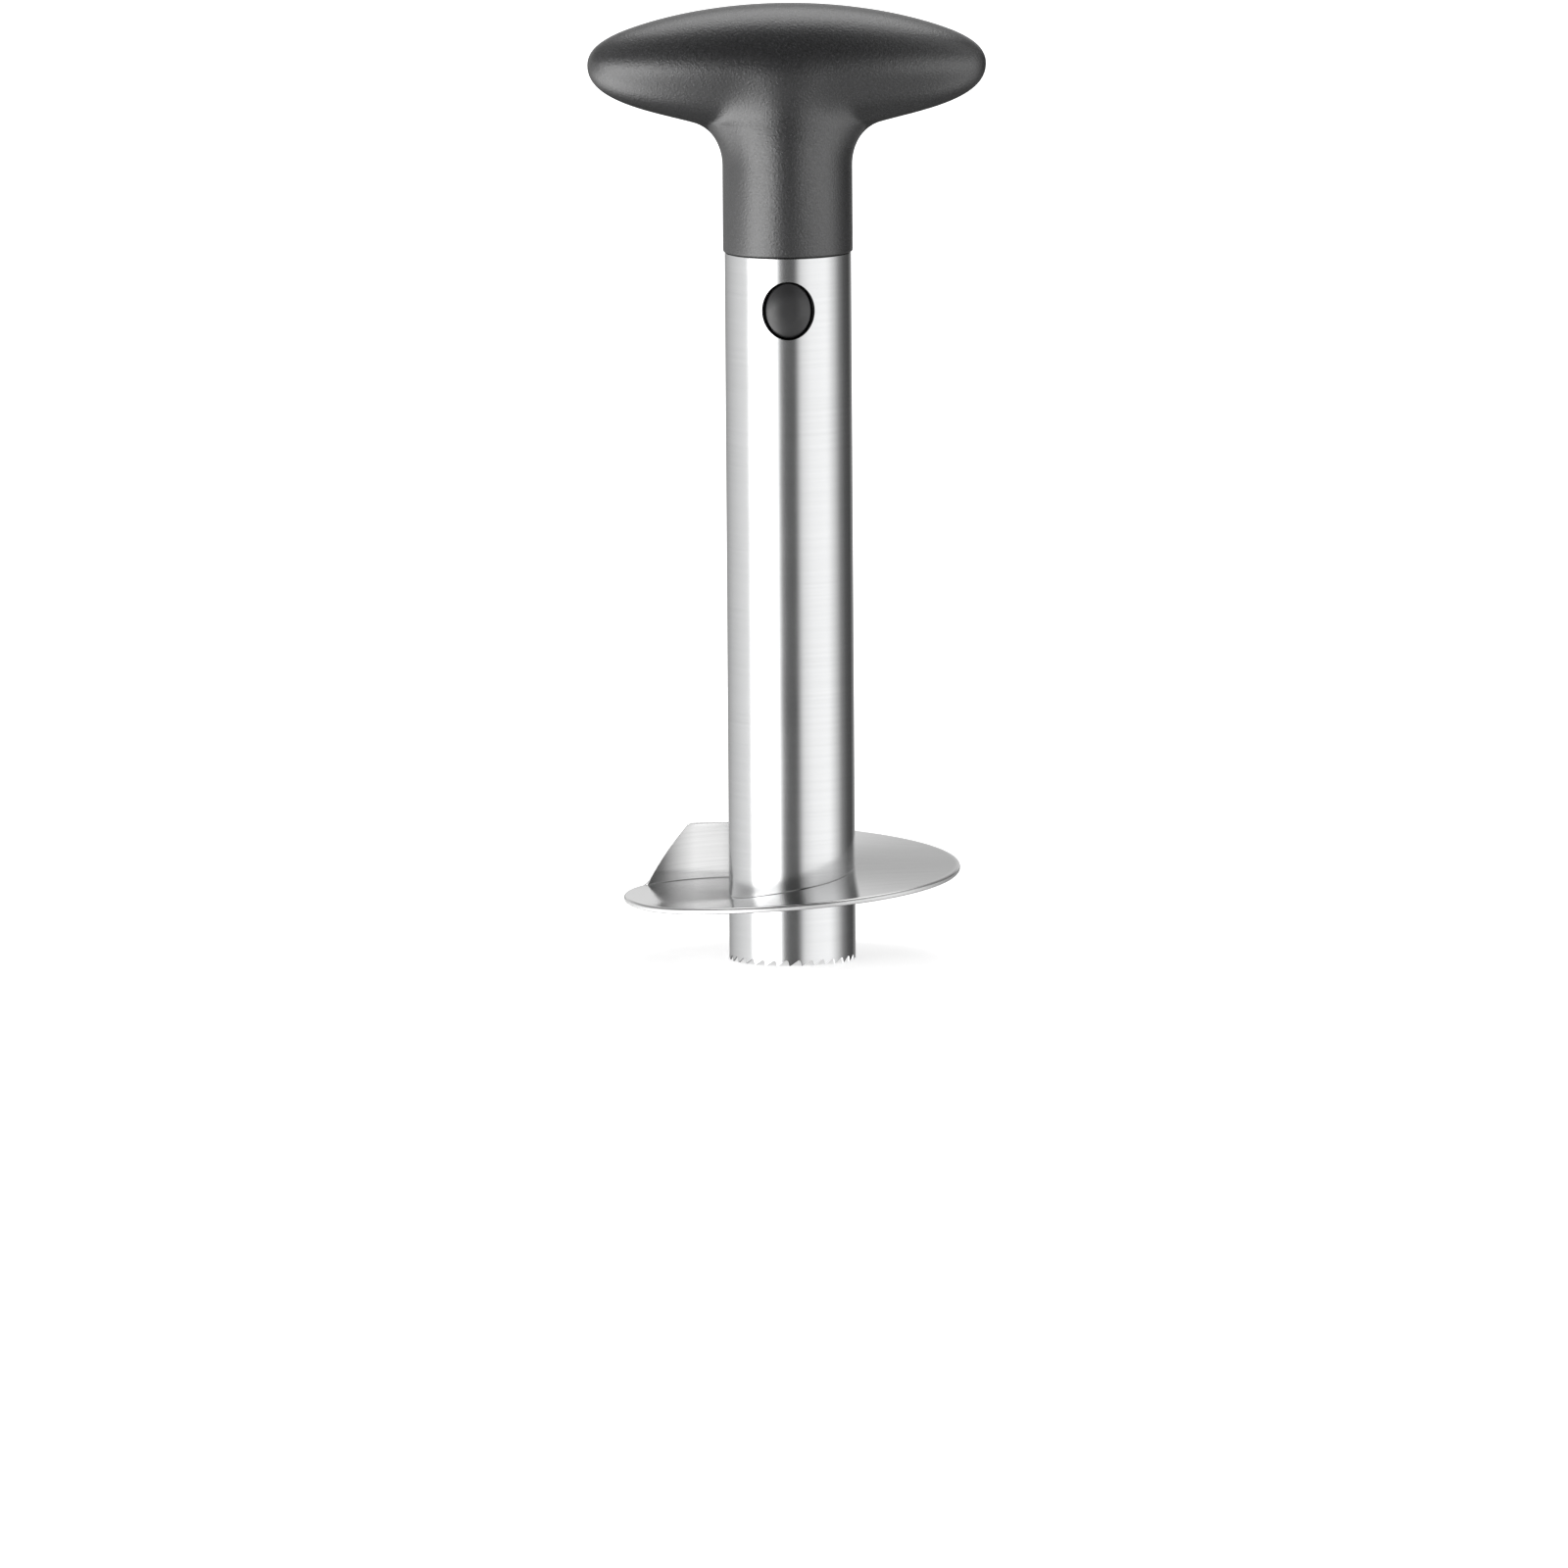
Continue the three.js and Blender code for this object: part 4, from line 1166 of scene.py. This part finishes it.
class SLICER_OT_studio(Operator):
    """Makes the floor, the lamps, the light from all round and the camera"""

    bl_idname = "slicer.studio"
    bl_label = "Studio"

    def execute(self, context):
        for make in (lay_floor, hang_lamps, light_world, set_camera):
            make(context.scene.slicer_studio)
        context.scene.view_settings.view_transform = "Standard"
        return {"FINISHED"}


class SLICER_OT_tube(Operator):
    """Makes the toothed coring tube"""

    bl_idname = "slicer.tube"
    bl_label = "Coring tube"

    def execute(self, context):
        tube = toothed_tube(context.scene.slicer_tube)
        steel = material_of("polished_tube_steel", polished_steel)
        finish_piece(tube, steel, "tube_steel", "cutter", "coring_tube", sharp=22, flats=False)
        true_round(tube)
        return {"FINISHED"}


class SLICER_OT_blade(Operator):
    """Makes the helical ring blade with its wing"""

    bl_idname = "slicer.blade"
    bl_label = "Slicing blade"

    def execute(self, context):
        sizes = context.scene.slicer_blade
        blade = helical_blade(sizes)
        steel = brushed_steel(context.scene.slicer_finishes, sizes)
        finish_piece(blade, steel, "blade_steel", "cutter", "slicing_blade", sharp=28)
        return {"FINISHED"}


class SLICER_OT_grip(Operator):
    """Makes the two shells of the T-handle"""

    bl_idname = "slicer.grip"
    bl_label = "Grip shells"

    def execute(self, context):
        plastic = material_of("grained_black_plastic", grained_plastic)
        for name, face, node in (
            ("front_shell", -1, "grip_front_shell"),
            ("rear_shell", 1, "grip_rear_shell"),
        ):
            shell = grip_shell(context.scene.slicer_grip, name, face)
            finish_piece(shell, plastic, "grip_plastic", "handle", node, sharp=40, flats=False)
        return {"FINISHED"}


class SLICER_OT_latches(Operator):
    """Makes the two sprung latches with their buttons"""

    bl_idname = "slicer.latches"
    bl_label = "Latches"

    def execute(self, context):
        plastic = material_of("satin_black_plastic", satin_plastic)
        for name, face, body, node in (
            ("front_button", -1, "front_latch", "latch_front"),
            ("rear_button", 1, "rear_latch", "latch_rear"),
        ):
            button = latch(context.scene.slicer_latch, name, face)
            finish_piece(button, plastic, "latch_plastic", body, node)
        return {"FINISHED"}


class SLICER_OT_spigot(Operator):
    """Makes the spigot, its end cap and the screw"""

    bl_idname = "slicer.spigot"
    bl_label = "Spigot"

    def execute(self, context):
        sizes = context.scene.slicer_spigot
        plastic = material_of("satin_black_plastic", satin_plastic)
        steel = material_of("plain_screw_steel", screw_steel)
        plug = spigot(sizes, context.scene.slicer_latch)
        finish_piece(plug, plastic, "spigot_plastic", "handle", "spigot")
        finish_piece(end_cap(sizes), plastic, "spigot_plastic", "handle", "spigot_end_cap")
        finish_piece(cap_screw(sizes), steel, "screw_steel", "handle", "cap_screw")
        return {"FINISHED"}


# Panel and registration

OPERATORS = (
    SLICER_OT_studio,
    SLICER_OT_tube,
    SLICER_OT_blade,
    SLICER_OT_grip,
    SLICER_OT_latches,
    SLICER_OT_spigot,
)
SETTINGS = {
    "slicer_tube": TubeSizes,
    "slicer_blade": BladeSizes,
    "slicer_grip": GripSizes,
    "slicer_latch": LatchSizes,
    "slicer_spigot": SpigotSizes,
    "slicer_finishes": Finishes,
    "slicer_studio": StudioSizes,
}


class SLICER_PT_panel(Panel):
    """The slicer's pieces, and the sizes and colours behind them"""

    bl_label = "Pineapple slicer"
    bl_idname = "SLICER_PT_panel"
    bl_space_type = "VIEW_3D"
    bl_region_type = "UI"
    bl_category = "Slicer"

    def draw(self, context):
        for operator in OPERATORS:
            self.layout.operator(operator.bl_idname)
        for name in SETTINGS:
            box = self.layout.box()
            group = getattr(context.scene, name)
            box.label(text=name.replace("_", " "))
            for setting in group.bl_rna.properties:
                if setting.identifier not in ("name", "rna_type"):
                    box.prop(group, setting.identifier)


CLASSES = (*SETTINGS.values(), *OPERATORS, SLICER_PT_panel)


def register():
    for cls in CLASSES:
        bpy.utils.register_class(cls)
    for name, group in SETTINGS.items():
        setattr(bpy.types.Scene, name, PointerProperty(type=group))


def unregister():
    for name in SETTINGS:
        delattr(bpy.types.Scene, name)
    for cls in reversed(CLASSES):
        bpy.utils.unregister_class(cls)


def main():
    register()
    bpy.ops.slicer.studio()
    bpy.ops.slicer.tube()
    bpy.ops.slicer.blade()
    bpy.ops.slicer.grip()
    bpy.ops.slicer.latches()
    bpy.ops.slicer.spigot()


if __name__ == "__main__":
    main()
